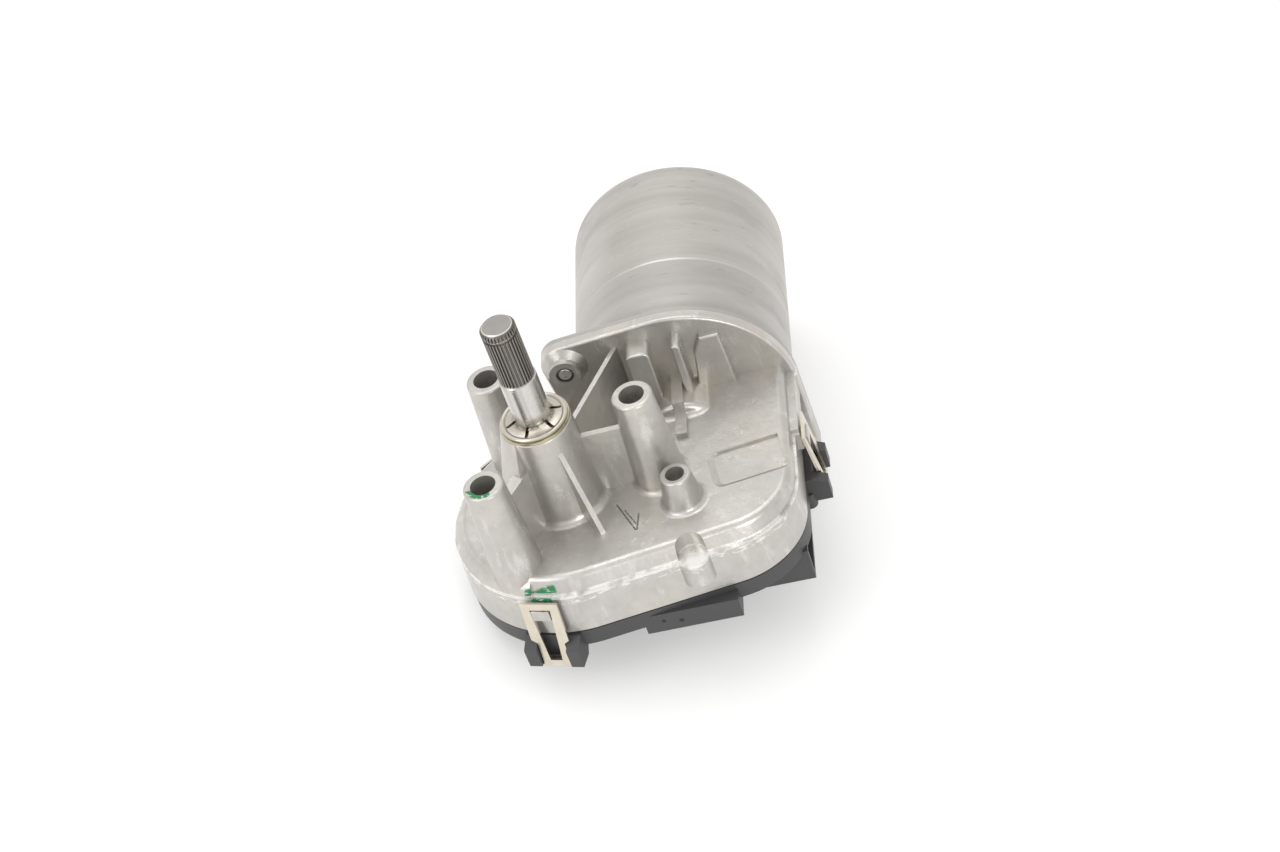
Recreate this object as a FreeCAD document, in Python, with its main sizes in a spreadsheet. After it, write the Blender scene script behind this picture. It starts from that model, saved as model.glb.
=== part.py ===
import FreeCAD, Part
import os
import re
import Sketcher
from FreeCAD import Placement, Rotation, Vector

# Wiper gear motor, in millimetres. The origin is on the output shaft, at the lower end of the smooth
# seat for the linkage arm, just above the star nut. +Z runs up along the shaft, +Y along the motor can.

# Driving dimensions, each written once
DRIVING = {
    # Output shaft, from the tip down
    "shaft_radius": 6.0,
    "seat_length": 16.4,
    "serration_length": 22.0,
    "serration_radius": 5.65,
    "serration_depth": 0.5,
    "serration_count": 32,
    "nut_groove_depth": 0.35,
    "nut_groove_width": 1.2,
    "shaft_below_hub": 2.6,
    # Star nut and washer on the tower
    "nut_radius": 10.8,
    "nut_rim_width": 1.9,
    "nut_height": 1.85,
    "nut_sheet": 0.6,
    "nut_slot_count": 8,
    "nut_slot_width": 0.9,
    "washer_radius": 11.3,
    "washer_sheet": 0.8,
    # Levels along Z, measured from the origin
    "tower_top": -2.8,
    "boss_top": -1.6,
    "platform": -37.6,
    "ledge": -43.1,
    "rim": -58.1,
    "cavity_top": -40.8,
    "short_boss_top": -25.8,
    # Gear case outline seen from above
    "case_radius": 39.3,
    "front_slope": 8.7,
    "corner_radius": 26.0,
    "right_wall": 73.6,
    "case_wall": 3.5,
    "wall_draft": 0.5,
    "ledge_width": 1.3,
    "shoulder_width": 2.7,
    "shoulder_rounding": 2.6,
    "ledge_shift": 1.0,
    "shoulder_shift": 1.6,
    "platform_shift": 3.4,
    "rest_reach": 2.0,
    "rest_height": 2.0,
    # Round shoulder and conical flank on the left of the tower
    "dome_start": 92.0,
    "dome_end": 250.0,
    "dome_rounding": 7.5,
    "flank_slope": 0.267,
    "web_angle": 231.5,
    # Tower and bosses
    "tower_radius": 11.4,
    "tower_flare": 2.6,
    "tower_foot_radius": 12.7,
    "boss_radius": 6.5,
    "boss_foot_radius": 8.2,
    "boss_bore": 4.1,
    "boss_bore_depth": 16.0,
    "left_boss_x": -16.1,
    "rear_boss_y": 22.4,
    "front_boss_y": -25.2,
    "right_boss_x": 31.2,
    "right_boss_y": 1.2,
    "short_boss_x": 38.3,
    "short_boss_y": -12.0,
    "short_boss_radius": 5.0,
    "short_boss_foot_radius": 6.3,
    "short_boss_bore": 3.1,
    "short_boss_bore_depth": 8.0,
    "cast_flare": 2.0,
    "cast_edge": 0.8,
    "web_thickness": 2.0,
    "rib_thickness": 1.6,
    # Motor axis and flange
    "motor_x": 38.4,
    "motor_z": -46.1,
    "flange_front": 40.0,
    "flange_thickness": 3.9,
    "flange_radius": 38.0,
    "flange_rounding": 1.0,
    "ear_radius": 7.8,
    "ear_reach": 42.95,
    "ear_angle": 141.0,
    "low_ear_angle": 316.2,
    "ear_boss_height": 4.0,
    "ear_boss_radius": 5.2,
    "pad_reach": 7.2,
    "low_pad_reach": 2.6,
    "bulge_radius": 12.6,
    "bulge_front": 26.0,
    "spigot_radius": 33.85,
    "spigot_wall": 2.6,
    "spigot_length": 4.0,
    # Motor can
    "can_sheet": 2.0,
    "can_radius": 36.0,
    "can_end": 123.7,
    "can_end_rounding": 6.7,
    "can_flange_sheet": 1.6,
    "cup_radius": 9.2,
    "cup_length": 6.0,
    # Fasteners
    "screw_radius": 2.45,
    "screw_hole": 2.6,
    "screw_head_radius": 4.6,
    "screw_head_height": 4.2,
    # Cover and seal
    "gasket_thickness": 0.6,
    "gasket_width": 3.0,
    "cover_depth": 6.2,
    "cover_wall": 2.4,
    "cover_floor": 2.2,
    "block_left": 18.0,
    "block_right": 49.0,
    "block_front": -36.5,
    "block_bottom": -68.6,
    "block_top": -60.9,
    "box_left": 28.0,
    "box_right": 71.5,
    "box_front": -19.0,
    "box_back": 24.0,
    "box_bottom": -76.6,
    "socket_depth": 14.0,
    "socket_width": 22.0,
    "socket_wall": 1.6,
    "socket_height": 9.8,
    # Spring clips and their lugs
    "front_clip_angle": 254.4,
    "rear_clip_angle": 130.0,
    "right_clip_y": 16.0,
    "clip_sheet": 0.8,
    "clip_width": 12.7,
    "clip_neck_width": 9.2,
    "clip_foot_width": 15.0,
    "clip_spread": 2.6,
    "clip_bottom": -69.9,
    "lug_gap": 10.0,
    "lug_width": 4.2,
    "lug_reach": 5.0,
    "lug_bottom": -68.6,
    "cap_radius": 2.4,
    "cap_x": 72.9,
    "cap_y": 8.2,
    # Worm and wheel
    "gear_module": 1.1,
    "wheel_teeth": 61,
    "worm_pitch_radius": 4.85,
    "worm_half_turns": 3.5,
    "tooth_addendum": 1.1,
    "tooth_dedendum": 1.35,
    "pressure_angle": 20.0,
    "flank_gap": 0.12,
    "wheel_face": 9.0,
    "wheel_web": 4.0,
    "wheel_rim": 4.0,
    "wheel_hub_wall": 3.0,
    "hub_radius": 13.0,
    # Motor shaft and armature
    "rotor_shaft_radius": 4.0,
    "tip_radius": 3.5,
    "tip_end": -22.0,
    "tip_start": -15.0,
    "tunnel_radius": 6.8,
    "tunnel_end": -25.0,
    "shaft_past_can": 1.2,
    "air_gap": 0.7,
    "stack_length": 30.0,
    "end_room": 11.7,
    "slot_count": 12,
    "commutator_radius": 11.0,
    "commutator_start": 51.5,
    "commutator_end": 63.0,
    "bar_count": 20,
    # Ball bearing at the worm end of the can
    "bearing_start": 34.0,
    "bearing_width": 7.0,
    "bearing_radius": 11.0,
    "ball_radius": 1.9,
    "ball_circle": 7.7,
    "ball_count": 8,
    # Magnets and brushes
    "magnet_thickness": 6.0,
    "magnet_overhang": 4.0,
    "magnet_angle": 130.0,
    "plate_start": 48.0,
    "plate_thickness": 3.0,
    "tube_width": 7.2,
    "tube_height": 9.0,
    "tube_end": 28.0,
    "tube_sheet": 0.8,
    # Bushes
    "bush_radius": 8.0,
    # Clearances
    "running_gap": 0.04,
    "press_gap": 0.02,
    "flat_gap": 0.05,
    "loose_gap": 0.3,
}

doc = FreeCAD.newDocument("WiperMotor")
sheet = doc.addObject("Spreadsheet::Sheet", "Sizes")
for row, (alias, number) in enumerate(DRIVING.items(), start=1):
    sheet.set(f"A{row}", alias)
    sheet.set(f"B{row}", str(number))
    sheet.setAlias(f"B{row}", alias)
doc.recompute()

# Sizes that follow from the driving ones
STACK_RADIUS = "(can_radius - can_sheet - magnet_thickness - air_gap)"
STACK_END = "(can_end - end_room)"
STACK_START = f"({STACK_END} - stack_length)"
PIN_LEVEL = "(box_bottom + socket_wall + socket_height * 0.66)"

UPRIGHT = Rotation()
ALONG_X = Rotation(Vector(0, 1, 0), 90)
ALONG_Y = Rotation(Vector(1, 0, 0), -90)

# Each finished sub-part by its label
parts = {}


def bound(text):
    """Turn size names into references to the sheet's cells."""
    return re.sub(r"[a-z][a-z_]+", lambda m: "Sizes." + m[0] if m[0] in DRIVING else m[0], str(text))


def value(text):
    """The number that an expression on size names has now."""
    found = sheet.evalExpression(bound(text))
    return float(getattr(found, "Value", found))


def spin(angle):
    """Rotation about Z by an angle given as an expression."""
    return Rotation(Vector(0, 0, 1), value(angle))


def place(item, x, y, z, turn=UPRIGHT):
    """Put an object at an expression-bound position."""
    item.Placement = Placement(Vector(value(x), value(y), value(z)), turn)
    for axis, text in zip("xyz", (x, y, z)):
        item.setExpression("Placement.Base." + axis, bound(text))
    return item


def new_body(label, x="0", y="0", z="0", turn=UPRIGHT):
    body = doc.addObject("PartDesign::Body", label)
    body.Label = label
    place(body, x, y, z, turn)
    return body


def motor_body(label, turn="0"):
    """A body whose own Z axis is the motor axis, so that its height is the world's Y."""
    return new_body(label, "motor_x", "0", "motor_z", ALONG_Y.multiply(spin(turn)))


def sketch(body, role="XY_Plane", x="0", y="0", z="0", turn=UPRIGHT):
    """A sketch on one of the body's own origin planes, moved within that plane's frame."""
    drawing = body.newObject("Sketcher::SketchObject", "Sketch")
    plane = next(f for f in body.Origin.OriginFeatures if f.Role == role)
    drawing.AttachmentSupport = (plane, [""])
    drawing.MapMode = "FlatFace"
    drawing.AttachmentOffset = Placement(Vector(value(x), value(y), value(z)), turn)
    for axis, text in zip("xyz", (x, y, z)):
        drawing.setExpression("AttachmentOffset.Base." + axis, bound(text))
    return drawing


def fix(drawing, kind, geometry, point, text):
    """Bind one coordinate of a sketch point to an expression."""
    number = value(text)
    index = drawing.addConstraint(Sketcher.Constraint(kind, geometry, point, number))
    drawing.setExpression(f"Constraints[{index}]", bound(text))


def closed(drawing, corners):
    """Closed outline through corners (x, y). A third entry is the radius of the arc that arrives
    there, positive when it turns left."""
    first = drawing.GeometryCount
    points = [Vector(value(c[0]), value(c[1]), 0) for c in corners]
    ends = []
    for i, corner in enumerate(corners):
        start, end = points[i - 1], points[i]
        if len(corner) == 2:
            index = drawing.addGeometry(Part.LineSegment(start, end))
            ends.append((index, 1, 2))
            continue
        radius = value(corner[2])
        across = end - start
        left = Vector(-across.y, across.x, 0).normalize()
        height = max(radius ** 2 - (across.Length / 2) ** 2, 0) ** 0.5
        centre = (start + end) / 2 + left * (height if radius > 0 else -height)
        from_point, to_point = (start, end) if radius > 0 else (end, start)
        circle = Part.Circle(centre, Vector(0, 0, 1), abs(radius))
        arc = Part.ArcOfCircle(circle, circle.parameter(from_point), circle.parameter(to_point))
        index = drawing.addGeometry(arc)
        ends.append((index, 1, 2) if radius > 0 else (index, 2, 1))
    for i, (index, start_point, end_point) in enumerate(ends):
        following, next_start, _ = ends[(i + 1) % len(ends)]
        drawing.addConstraint(Sketcher.Constraint("Coincident", index, end_point, following, next_start))
    for (index, _, end_point), corner in zip(ends, corners):
        fix(drawing, "DistanceX", index, end_point, corner[0])
        fix(drawing, "DistanceY", index, end_point, corner[1])
        if len(corner) == 3:
            number = abs(value(corner[2]))
            at = drawing.addConstraint(Sketcher.Constraint("Radius", index, number))
            drawing.setExpression(f"Constraints[{at}]", bound(f"abs({corner[2]})"))
    return first


def circle(drawing, x, y, radius):
    index = drawing.addGeometry(Part.Circle(Vector(value(x), value(y), 0), Vector(0, 0, 1), value(radius)))
    fix(drawing, "DistanceX", index, 3, x)
    fix(drawing, "DistanceY", index, 3, y)
    at = drawing.addConstraint(Sketcher.Constraint("Radius", index, value(radius)))
    drawing.setExpression(f"Constraints[{at}]", bound(radius))


def rectangle(drawing, left, right, low, high):
    closed(drawing, [(right, low), (right, high), (left, high), (left, low)])


def pad(body, drawing, length, back=False, middle=False):
    feature = body.newObject("PartDesign::Pad", "Pad")
    feature.Profile = drawing
    feature.setExpression("Length", bound(length))
    feature.Reversed = back
    if middle:
        feature.SideType = "Symmetric"
    return feature


def pocket(body, drawing, length, back=False, middle=False):
    """Cut a sketch down its normal, or up it when back is set."""
    doc.recompute()
    before = body.Shape.Volume
    feature = body.newObject("PartDesign::Pocket", "Pocket")
    feature.Profile = drawing
    feature.setExpression("Length", bound(length))
    feature.Reversed = back
    if middle:
        feature.SideType = "Symmetric"
    doc.recompute()
    if body.Shape.Volume > before - 1e-3:
        raise ValueError(f"a pocket in {body.Label} cuts nothing")
    return feature


def loft(body, drawings):
    feature = body.newObject("PartDesign::AdditiveLoft", "Loft")
    feature.Profile = drawings[0]
    feature.Sections = drawings[1:]
    feature.Ruled = True
    return feature


def revolve(body, corners, x="0", y="0", angle="360", start="0"):
    """Turn a profile of (radius, height) corners about an upright axis at x, y of the body."""
    drawing = sketch(body, "XZ_Plane", x, "0", f"-({y})", Rotation(Vector(0, 1, 0), value(start)))
    closed(drawing, corners)
    feature = body.newObject("PartDesign::Revolution", "Revolution")
    feature.Profile = drawing
    feature.ReferenceAxis = (drawing, ["V_Axis"])
    feature.setExpression("Angle", bound(angle))
    return feature


def groove(body, corners, x="0", y="0"):
    """Cut a turned profile out of the body."""
    doc.recompute()
    before = body.Shape.Volume
    drawing = sketch(body, "XZ_Plane", x, "0", f"-({y})")
    closed(drawing, corners)
    feature = body.newObject("PartDesign::Groove", "Groove")
    feature.Profile = drawing
    feature.ReferenceAxis = (drawing, ["V_Axis"])
    feature.Angle = 360
    doc.recompute()
    if body.Shape.Volume > before - 1e-3:
        raise ValueError(f"a groove in {body.Label} cuts nothing")
    return feature


def around(body, feature, count, angle="360"):
    """Repeat a feature about the body's Z axis."""
    doc.recompute()
    pattern = body.newObject("PartDesign::PolarPattern", "PolarPattern")
    pattern.Originals = [feature]
    axis = next(f for f in body.Origin.OriginFeatures if f.Role == "Z_Axis")
    pattern.Axis = (axis, [""])
    pattern.setExpression("Angle", bound(angle))
    pattern.setExpression("Occurrences", bound(count))
    body.Tip = pattern
    return pattern


def solid(body, kind, x, y, z, turn=UPRIGHT, **sizes):
    """A PartDesign primitive such as AdditiveCone or SubtractiveBox, placed in the body."""
    feature = body.newObject("PartDesign::" + kind, kind)
    place(feature, x, y, z, turn)
    for name, text in sizes.items():
        feature.setExpression(name, bound(text))
    return feature


def box(body, kind, low, high):
    """A primitive box between two corners."""
    spans = [f"({b}) - ({a})" for a, b in zip(low, high)]
    return solid(body, kind + "Box", *low, Length=spans[0], Width=spans[1], Height=spans[2])


def fillet(body, radius, wanted):
    """Round the edges of the body so far whose midpoint passes the test."""
    doc.recompute()
    base = body.Tip
    edges = []
    for number, edge in enumerate(base.Shape.Edges, start=1):
        middle = edge.valueAt((edge.FirstParameter + edge.LastParameter) / 2)
        if wanted(middle, edge):
            edges.append(f"Edge{number}")
    feature = body.newObject("PartDesign::Fillet", "Fillet")
    feature.Base = (base, edges)
    feature.setExpression("Radius", bound(radius))
    return feature


def finish(item, label=None):
    """Record a finished sub-part."""
    name = label or item.Label
    item.Label = name
    parts[name] = item
    return item


def group(label, items):
    """Identical pieces that share one node."""
    joined = doc.addObject("Part::Compound", label)
    joined.Links = items
    return finish(joined, label)


def ring(body, inner, outer, low, high):
    """A plain turned ring in the body."""
    return revolve(body, [(inner, low), (outer, low), (outer, high), (inner, high)])


def case_outline(drawing, inset, back, shift="0"):
    """The gear case seen from above: round left end, sloping front wall, round corner, right wall."""
    radius = f"(case_radius - ({inset}))"
    corner = f"(corner_radius - ({inset}))"
    right = f"right_wall - ({inset}) + {shift}"
    centre_x = f"(right_wall - corner_radius + {shift})"
    centre_y = f"((sin(front_slope) * {centre_x} - case_radius + corner_radius) / cos(front_slope))"
    closed(drawing, [
        ("0", radius),
        (f"-{radius}", "0", radius),
        (f"{radius} * sin(front_slope)", f"-{radius} * cos(front_slope)", radius),
        (f"{centre_x} + {corner} * sin(front_slope)", f"{centre_y} - {corner} * cos(front_slope)"),
        (right, centre_y, corner),
        (right, back),
        ("0", back),
    ])


def flange_outline(drawing, x, y, side):
    """The motor flange: a circle with two ears on opposite sides, joined by tangents."""
    lean = "acos((flange_radius - ear_radius) / ear_reach) / 1deg"
    corners = []
    for angle in ("ear_angle", "low_ear_angle") if side == "1" else ("low_ear_angle", "ear_angle"):
        ear_way = f"({side} * {angle})"
        ear_x = f"{x} + ear_reach * cos({ear_way})"
        ear_y = f"{y} + ear_reach * sin({ear_way})"
        before, after = f"({ear_way} - {lean})", f"({ear_way} + {lean})"
        corners += [
            (f"{x} + flange_radius * cos({before})", f"{y} + flange_radius * sin({before})", "flange_radius"),
            (f"{ear_x} + ear_radius * cos({before})", f"{ear_y} + ear_radius * sin({before})"),
            (f"{ear_x} + ear_radius * cos({after})", f"{ear_y} + ear_radius * sin({after})", "ear_radius"),
            (f"{x} + flange_radius * cos({after})", f"{y} + flange_radius * sin({after})"),
        ]
    closed(drawing, corners)


def ear_spots():
    """World X and Z of the two ear screws."""
    return [(f"motor_x + ear_reach * cos({angle})", f"motor_z + ear_reach * sin({angle})")
            for angle in ("ear_angle", "low_ear_angle")]


def clip_spots():
    """Where the cover clips sit on the case wall: X, Y and the outward direction."""
    spots = []
    for angle in ("front_clip_angle", "rear_clip_angle"):
        spots.append((f"case_radius * cos({angle})", f"case_radius * sin({angle})", angle))
    spots.append(("right_wall + rest_reach", "right_clip_y", "0"))
    return spots


def pin_spots():
    """Y of the five connector pins."""
    return [f"(box_front + socket_wall + socket_width / 2 + {4.4 * (number - 2)})" for number in range(5)]


def boss(body, x, y, top, radius, foot_radius, flare="cast_flare"):
    """A cast boss with draft and a rounded top edge. It flares on the platform, or runs down to the ledge."""
    foot = [("0", "ledge - 0.6"), (f"{foot_radius} + 0.3", "ledge - 0.6")]
    if flare:
        foot = [
            ("0", "platform - 1"),
            (f"{foot_radius} + {flare}", "platform - 1"),
            (f"{foot_radius} + {flare}", "platform"),
            (foot_radius, f"platform + {flare}", f"-{flare}")]
    revolve(body, foot + [
        (radius, f"{top} - cast_edge"),
        (f"{radius} - cast_edge", top, "cast_edge"),
        ("0", top),
    ], x, y)


def upright_rib(body, angle, thickness, corners):
    """A thin rib in the upright plane through the shaft axis at an angle from +X."""
    turn = Rotation(Vector(0, 1, 0), value(angle))
    drawing = sketch(body, "XZ_Plane", turn=turn)
    closed(drawing, corners)
    return pad(body, drawing, thickness, middle=True)


def make_gear_housing():
    body = new_body("gear_housing")

    # Flange wall that carries the motor can, with its rounded front edge
    drawing = sketch(body, "XZ_Plane", z="-flange_front")
    flange_outline(drawing, "motor_x", "motor_z", "1")
    pad(body, drawing, "flange_thickness", back=True)
    front = value("flange_front")
    fillet(body, "flange_rounding", lambda m, e: abs(m.y - front) < 0.01)

    # Case wall from the gasket rim to the ledge, then the shoulder up to the platform
    low = sketch(body, z="rim")
    case_outline(low, "0", "flange_front + 1")
    high = sketch(body, z="ledge")
    case_outline(high, "wall_draft", "flange_front + 1", "ledge_shift")
    loft(body, [low, high])
    low = sketch(body, z="ledge - 0.5")
    case_outline(low, "wall_draft + ledge_width", "flange_front + 1", "shoulder_shift")
    high = sketch(body, z="platform")
    case_outline(high, "wall_draft + ledge_width + shoulder_width", "flange_front + 1", "platform_shift")
    loft(body, [low, high])
    level = value("platform")
    fillet(body, "shoulder_rounding",
           lambda m, e: abs(m.z - level) < 0.01 and m.y < front - 1.5 and abs(e.tangentAt(e.FirstParameter).z) < 0.01)

    # Bulge over the ball bearing, blended into the platform
    solid(body, "AdditiveCylinder", "motor_x", "bulge_front", "motor_z", ALONG_Y,
          Radius="bulge_radius", Height="flange_front - bulge_front + 1")
    nose = value("bulge_front")
    fillet(body, "2", lambda m, e: abs(m.y - nose) < 0.01 and m.z > level + 1)
    fillet(body, "2.2", lambda m, e: abs(m.z - level) < 0.01 and nose - 0.1 < m.y < front - 0.5
           and abs(m.x - value("motor_x")) < value("bulge_radius"))

    # Round shoulder at the left end, and the conical flank of the tower behind the front web
    dome_x = "(case_radius - wall_draft - dome_rounding)"
    dome_low = "platform - dome_rounding"
    revolve(body, [
        ("0", dome_low),
        (f"{dome_x} + dome_rounding", dome_low),
        (dome_x, "platform", "dome_rounding"),
        ("0", "platform"),
    ], angle="dome_end - dome_start", start="dome_start")
    revolve(body, [
        ("0", "platform - 1"),
        ("tower_radius + flank_slope * (tower_top - platform + 1)", "platform - 1"),
        ("tower_radius", "tower_top"),
        ("0", "tower_top"),
    ], angle="web_angle + 4 - dome_start", start="dome_start")

    # Shaft tower, three tall bosses and the short one
    boss(body, "0", "0", "tower_top", "tower_radius", "tower_foot_radius", "tower_flare")
    for y in ("rear_boss_y", "front_boss_y"):
        boss(body, "left_boss_x", y, "boss_top", "boss_radius", "boss_foot_radius", None)
    boss(body, "right_boss_x", "right_boss_y", "boss_top", "boss_radius", "boss_foot_radius")
    boss(body, "short_boss_x", "short_boss_y", "short_boss_top", "short_boss_radius", "short_boss_foot_radius")

    # Webs from the tower to the bosses, and the thin gusset in front of it
    upright_rib(body, "2", "web_thickness", [
        ("tower_radius - 2", "platform - 1"), ("right_boss_x", "platform - 1"),
        ("right_boss_x", "boss_top - 11.7"), ("tower_radius - 2", "boss_top - 11.7")])
    for angle, thickness, reach in (("web_angle", "2 * web_thickness", "29"), ("125.7", "web_thickness", "25")):
        upright_rib(body, angle, thickness, [
            ("tower_radius - 2", "platform - 1"), (reach, "platform - 1"),
            (reach, "boss_top - 15.4"), ("tower_radius - 2", "boss_top - 12")])
    upright_rib(body, "-58.4", "rib_thickness", [
        ("tower_radius - 2", "platform - 1"), ("23.6", "platform - 1"),
        ("22.9", "platform + 0.4"), ("tower_radius - 2", "tower_top - 1.5")])

    # Rib from the tower to the flange wall
    upright_rib(body, "60.8", "rib_thickness", [
        ("tower_radius - 2", "platform - 1"), ("flange_front / sin(60.8) + 1", "platform - 1"),
        ("flange_front / sin(60.8) + 1", "-15.4"), ("tower_radius - 2", "-18.6")])

    # Three pads on the front of the flange wall: two deep ones with round tops and a low one
    for left, right, top, corner in (("26", "33.8", "-14.5", "2.1"), ("41.2", "44", "-14.1", "1.2")):
        drawing = sketch(body, "XZ_Plane", z="-(flange_front - pad_reach)")
        closed(drawing, [
            (right, "platform - 1"), (right, f"{top} - {corner}"), (f"{right} - {corner}", top, corner),
            (f"{left} + {corner}", top), (left, f"{top} - {corner}", corner), (left, "platform - 1")])
        pad(body, drawing, "pad_reach + 1", back=True)
    pad_front = value("flange_front - pad_reach")
    fillet(body, "0.7", lambda m, e: abs(m.y - pad_front) < 0.01 and m.z > level + 6)
    drawing = sketch(body, "XZ_Plane", z="-(flange_front - low_pad_reach)")
    closed(drawing, [
        ("57.6", "platform - 1"), ("56.3", "-16.6"), ("50.1", "-16.8"), ("46.9", "-23.1"), ("45", "platform - 1")])
    pad(body, drawing, "low_pad_reach + 1", back=True)
    low_front = value("flange_front - low_pad_reach")
    fillet(body, "0.7", lambda m, e: abs(m.y - low_front) < 0.01 and m.z > level + 4 and m.x > 45)

    # Stepped rib over the bulge
    box(body, "Additive", ("36.9", "bulge_front - 10.2", "platform - 1"), ("40.6", "bulge_front + 1", "platform + 1.9"))
    box(body, "Additive", ("36.9", "bulge_front", "platform - 1"), ("40.6", "flange_front + 1", "platform + 5.8"))

    # Nothing of the case reaches below the rim in front of the flange
    box(body, "Subtractive", ("-60", "-60", "rim - 40"), ("120", "flange_front", "rim"))

    # Ejector pad that breaks the ledge
    pad_y = "((sin(front_slope) * 39.2 - case_radius) / cos(front_slope) + 2.16)"
    solid(body, "AdditiveCylinder", "39.2", pad_y, "rim + 6", Radius="5.3", Height="ledge + 0.2 - rim - 6")
    solid(body, "SubtractiveCylinder", "39.2", pad_y, "ledge + 0.2", Radius="4.8", Height="8")

    # Shallow recess on the platform, parallel to the front wall, with sloping sides and round corners
    drawings = []
    for depth, left, low, corner in (("-0.02", "-11.2", "-8.8", "3.4"), ("1", "-8.9", "-7", "2")):
        drawing = sketch(body, x="58", y="0", z=f"platform - {depth}", turn=spin("front_slope"))
        closed(drawing, [
            ("12.6", low), ("12.6", "7.2"), (f"{left} + {corner}", "7.2"), (left, f"7.2 - {corner}", corner),
            (left, f"{low} + {corner}"), (f"{left} + {corner}", low, corner)])
        drawings.append(drawing)
    doc.recompute()
    feature = body.newObject("PartDesign::SubtractiveLoft", "Recess")
    feature.Profile = drawings[0]
    feature.Sections = drawings[1:]
    feature.Ruled = True

    # Raised rest of the right clip beside the flange
    box(body, "Additive", ("right_wall - 4", "12.5", "ledge - 7"),
        ("right_wall + rest_reach", "flange_front + 1", "ledge + rest_height"))

    # Catches under the spring clips
    for x, y, angle in clip_spots():
        drawing = sketch(body, x=x, y=y, z="ledge - 6.7", turn=spin(angle))
        rectangle(drawing, "-2", "2.2", "-3", "3")
        pad(body, drawing, "4")

    # Ear bosses and the spigot that centres the can
    for x, z in ear_spots():
        solid(body, "AdditiveCylinder", x, "flange_front - ear_boss_height", z, ALONG_Y,
              Radius="ear_boss_radius", Height="ear_boss_height + 1")
        solid(body, "AdditiveCone", x, "flange_front - ear_boss_height / 2", z, ALONG_Y,
              Radius1="ear_boss_radius", Radius2="ear_boss_radius + 2.3", Height="ear_boss_height / 2")
    solid(body, "AdditiveCylinder", "motor_x", "flange_front + flange_thickness - 1", "motor_z", ALONG_Y,
          Radius="spigot_radius", Height="spigot_length + 1")
    solid(body, "SubtractiveCylinder", "motor_x", "flange_front + flange_thickness", "motor_z", ALONG_Y,
          Radius="spigot_radius - spigot_wall", Height="spigot_length + 1")

    # Inside: shallow tray, gear chamber, electronics pocket and worm tunnel
    drawing = sketch(body, z="rim")
    case_outline(drawing, "case_wall", "flange_front - case_wall")
    pocket(body, drawing, "7", back=True)
    drawing = sketch(body, z="rim")
    circle(drawing, "0", "0", "case_radius - case_wall - 0.5")
    pocket(body, drawing, "cavity_top - rim", back=True)
    drawing = sketch(body, z="rim")
    rectangle(drawing, "motor_x + tunnel_radius + 3.5", "right_wall - case_wall - 1.5", "-16", "24")
    pocket(body, drawing, "cavity_top - rim", back=True)
    solid(body, "SubtractiveCylinder", "motor_x", "tunnel_end", "motor_z", ALONG_Y,
          Radius="tunnel_radius", Height="bearing_start - tunnel_end - 2")
    solid(body, "SubtractiveCylinder", "motor_x", "bearing_start - 3", "motor_z", ALONG_Y,
          Radius="rotor_shaft_radius + 2", Height="6")
    solid(body, "SubtractiveCylinder", "motor_x", "bearing_start", "motor_z", ALONG_Y,
          Radius="bearing_radius + press_gap", Height="bearing_width + 10")
    solid(body, "SubtractiveCylinder", "motor_x", "bearing_start + bearing_width", "motor_z", ALONG_Y,
          Radius="bearing_radius + 4", Height="10")

    # Slot in the flange wall for the motor leads
    box(body, "Subtractive", ("50", "flange_front - 8", "motor_z - 11"), ("62", "flange_front + 5", "motor_z - 7"))

    # Shaft bore, boss bores and screw holes
    solid(body, "SubtractiveCylinder", "0", "0", "cavity_top - 1", Radius="bush_radius",
          Height="tower_top - cavity_top + 2")
    for x, y in (("left_boss_x", "rear_boss_y"), ("left_boss_x", "front_boss_y"), ("right_boss_x", "right_boss_y")):
        solid(body, "SubtractiveCylinder", x, y, "boss_top - boss_bore_depth",
              Radius="boss_bore", Height="boss_bore_depth + 1")
    solid(body, "SubtractiveCylinder", "short_boss_x", "short_boss_y", "short_boss_top - short_boss_bore_depth",
          Radius="short_boss_bore", Height="short_boss_bore_depth + 1")
    for x, z in ear_spots():
        solid(body, "SubtractiveCylinder", x, "flange_front - ear_boss_height - 1", z, ALONG_Y,
              Radius="screw_hole", Height="ear_boss_height + flange_thickness + 2")
    finish(body)


def make_can():
    body = motor_body("motor_can")
    inner = "can_radius - can_sheet"
    start = "flange_front + flange_thickness + flat_gap"
    # Drawn shell: wall, rounded end and bearing cup
    revolve(body, [
        (inner, start),
        ("can_radius", start),
        ("can_radius", "can_end - can_end_rounding"),
        ("can_radius - can_end_rounding", "can_end", "can_end_rounding"),
        ("cup_radius", "can_end"),
        ("cup_radius", "can_end + cup_length"),
        ("0", "can_end + cup_length"),
        ("0", "can_end + cup_length - can_sheet"),
        ("cup_radius - can_sheet", "can_end + cup_length - can_sheet"),
        ("cup_radius - can_sheet", "can_end - can_sheet"),
        (f"{inner} - can_end_rounding / 2", "can_end - can_sheet"),
        (inner, "can_end - can_sheet - can_end_rounding / 2", "-can_end_rounding / 2"),
    ])
    drawing = sketch(body, z=start)
    flange_outline(drawing, "0", "0", "-1")
    circle(drawing, "0", "0", f"{inner} + 0.5")
    pad(body, drawing, "can_flange_sheet")
    drawing = sketch(body, z=f"{start} + can_flange_sheet")
    for angle in ("ear_angle", "low_ear_angle"):
        circle(drawing, f"ear_reach * cos({angle})", f"-ear_reach * sin({angle})", "screw_hole")
    pocket(body, drawing, "can_flange_sheet")
    finish(body)


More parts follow.
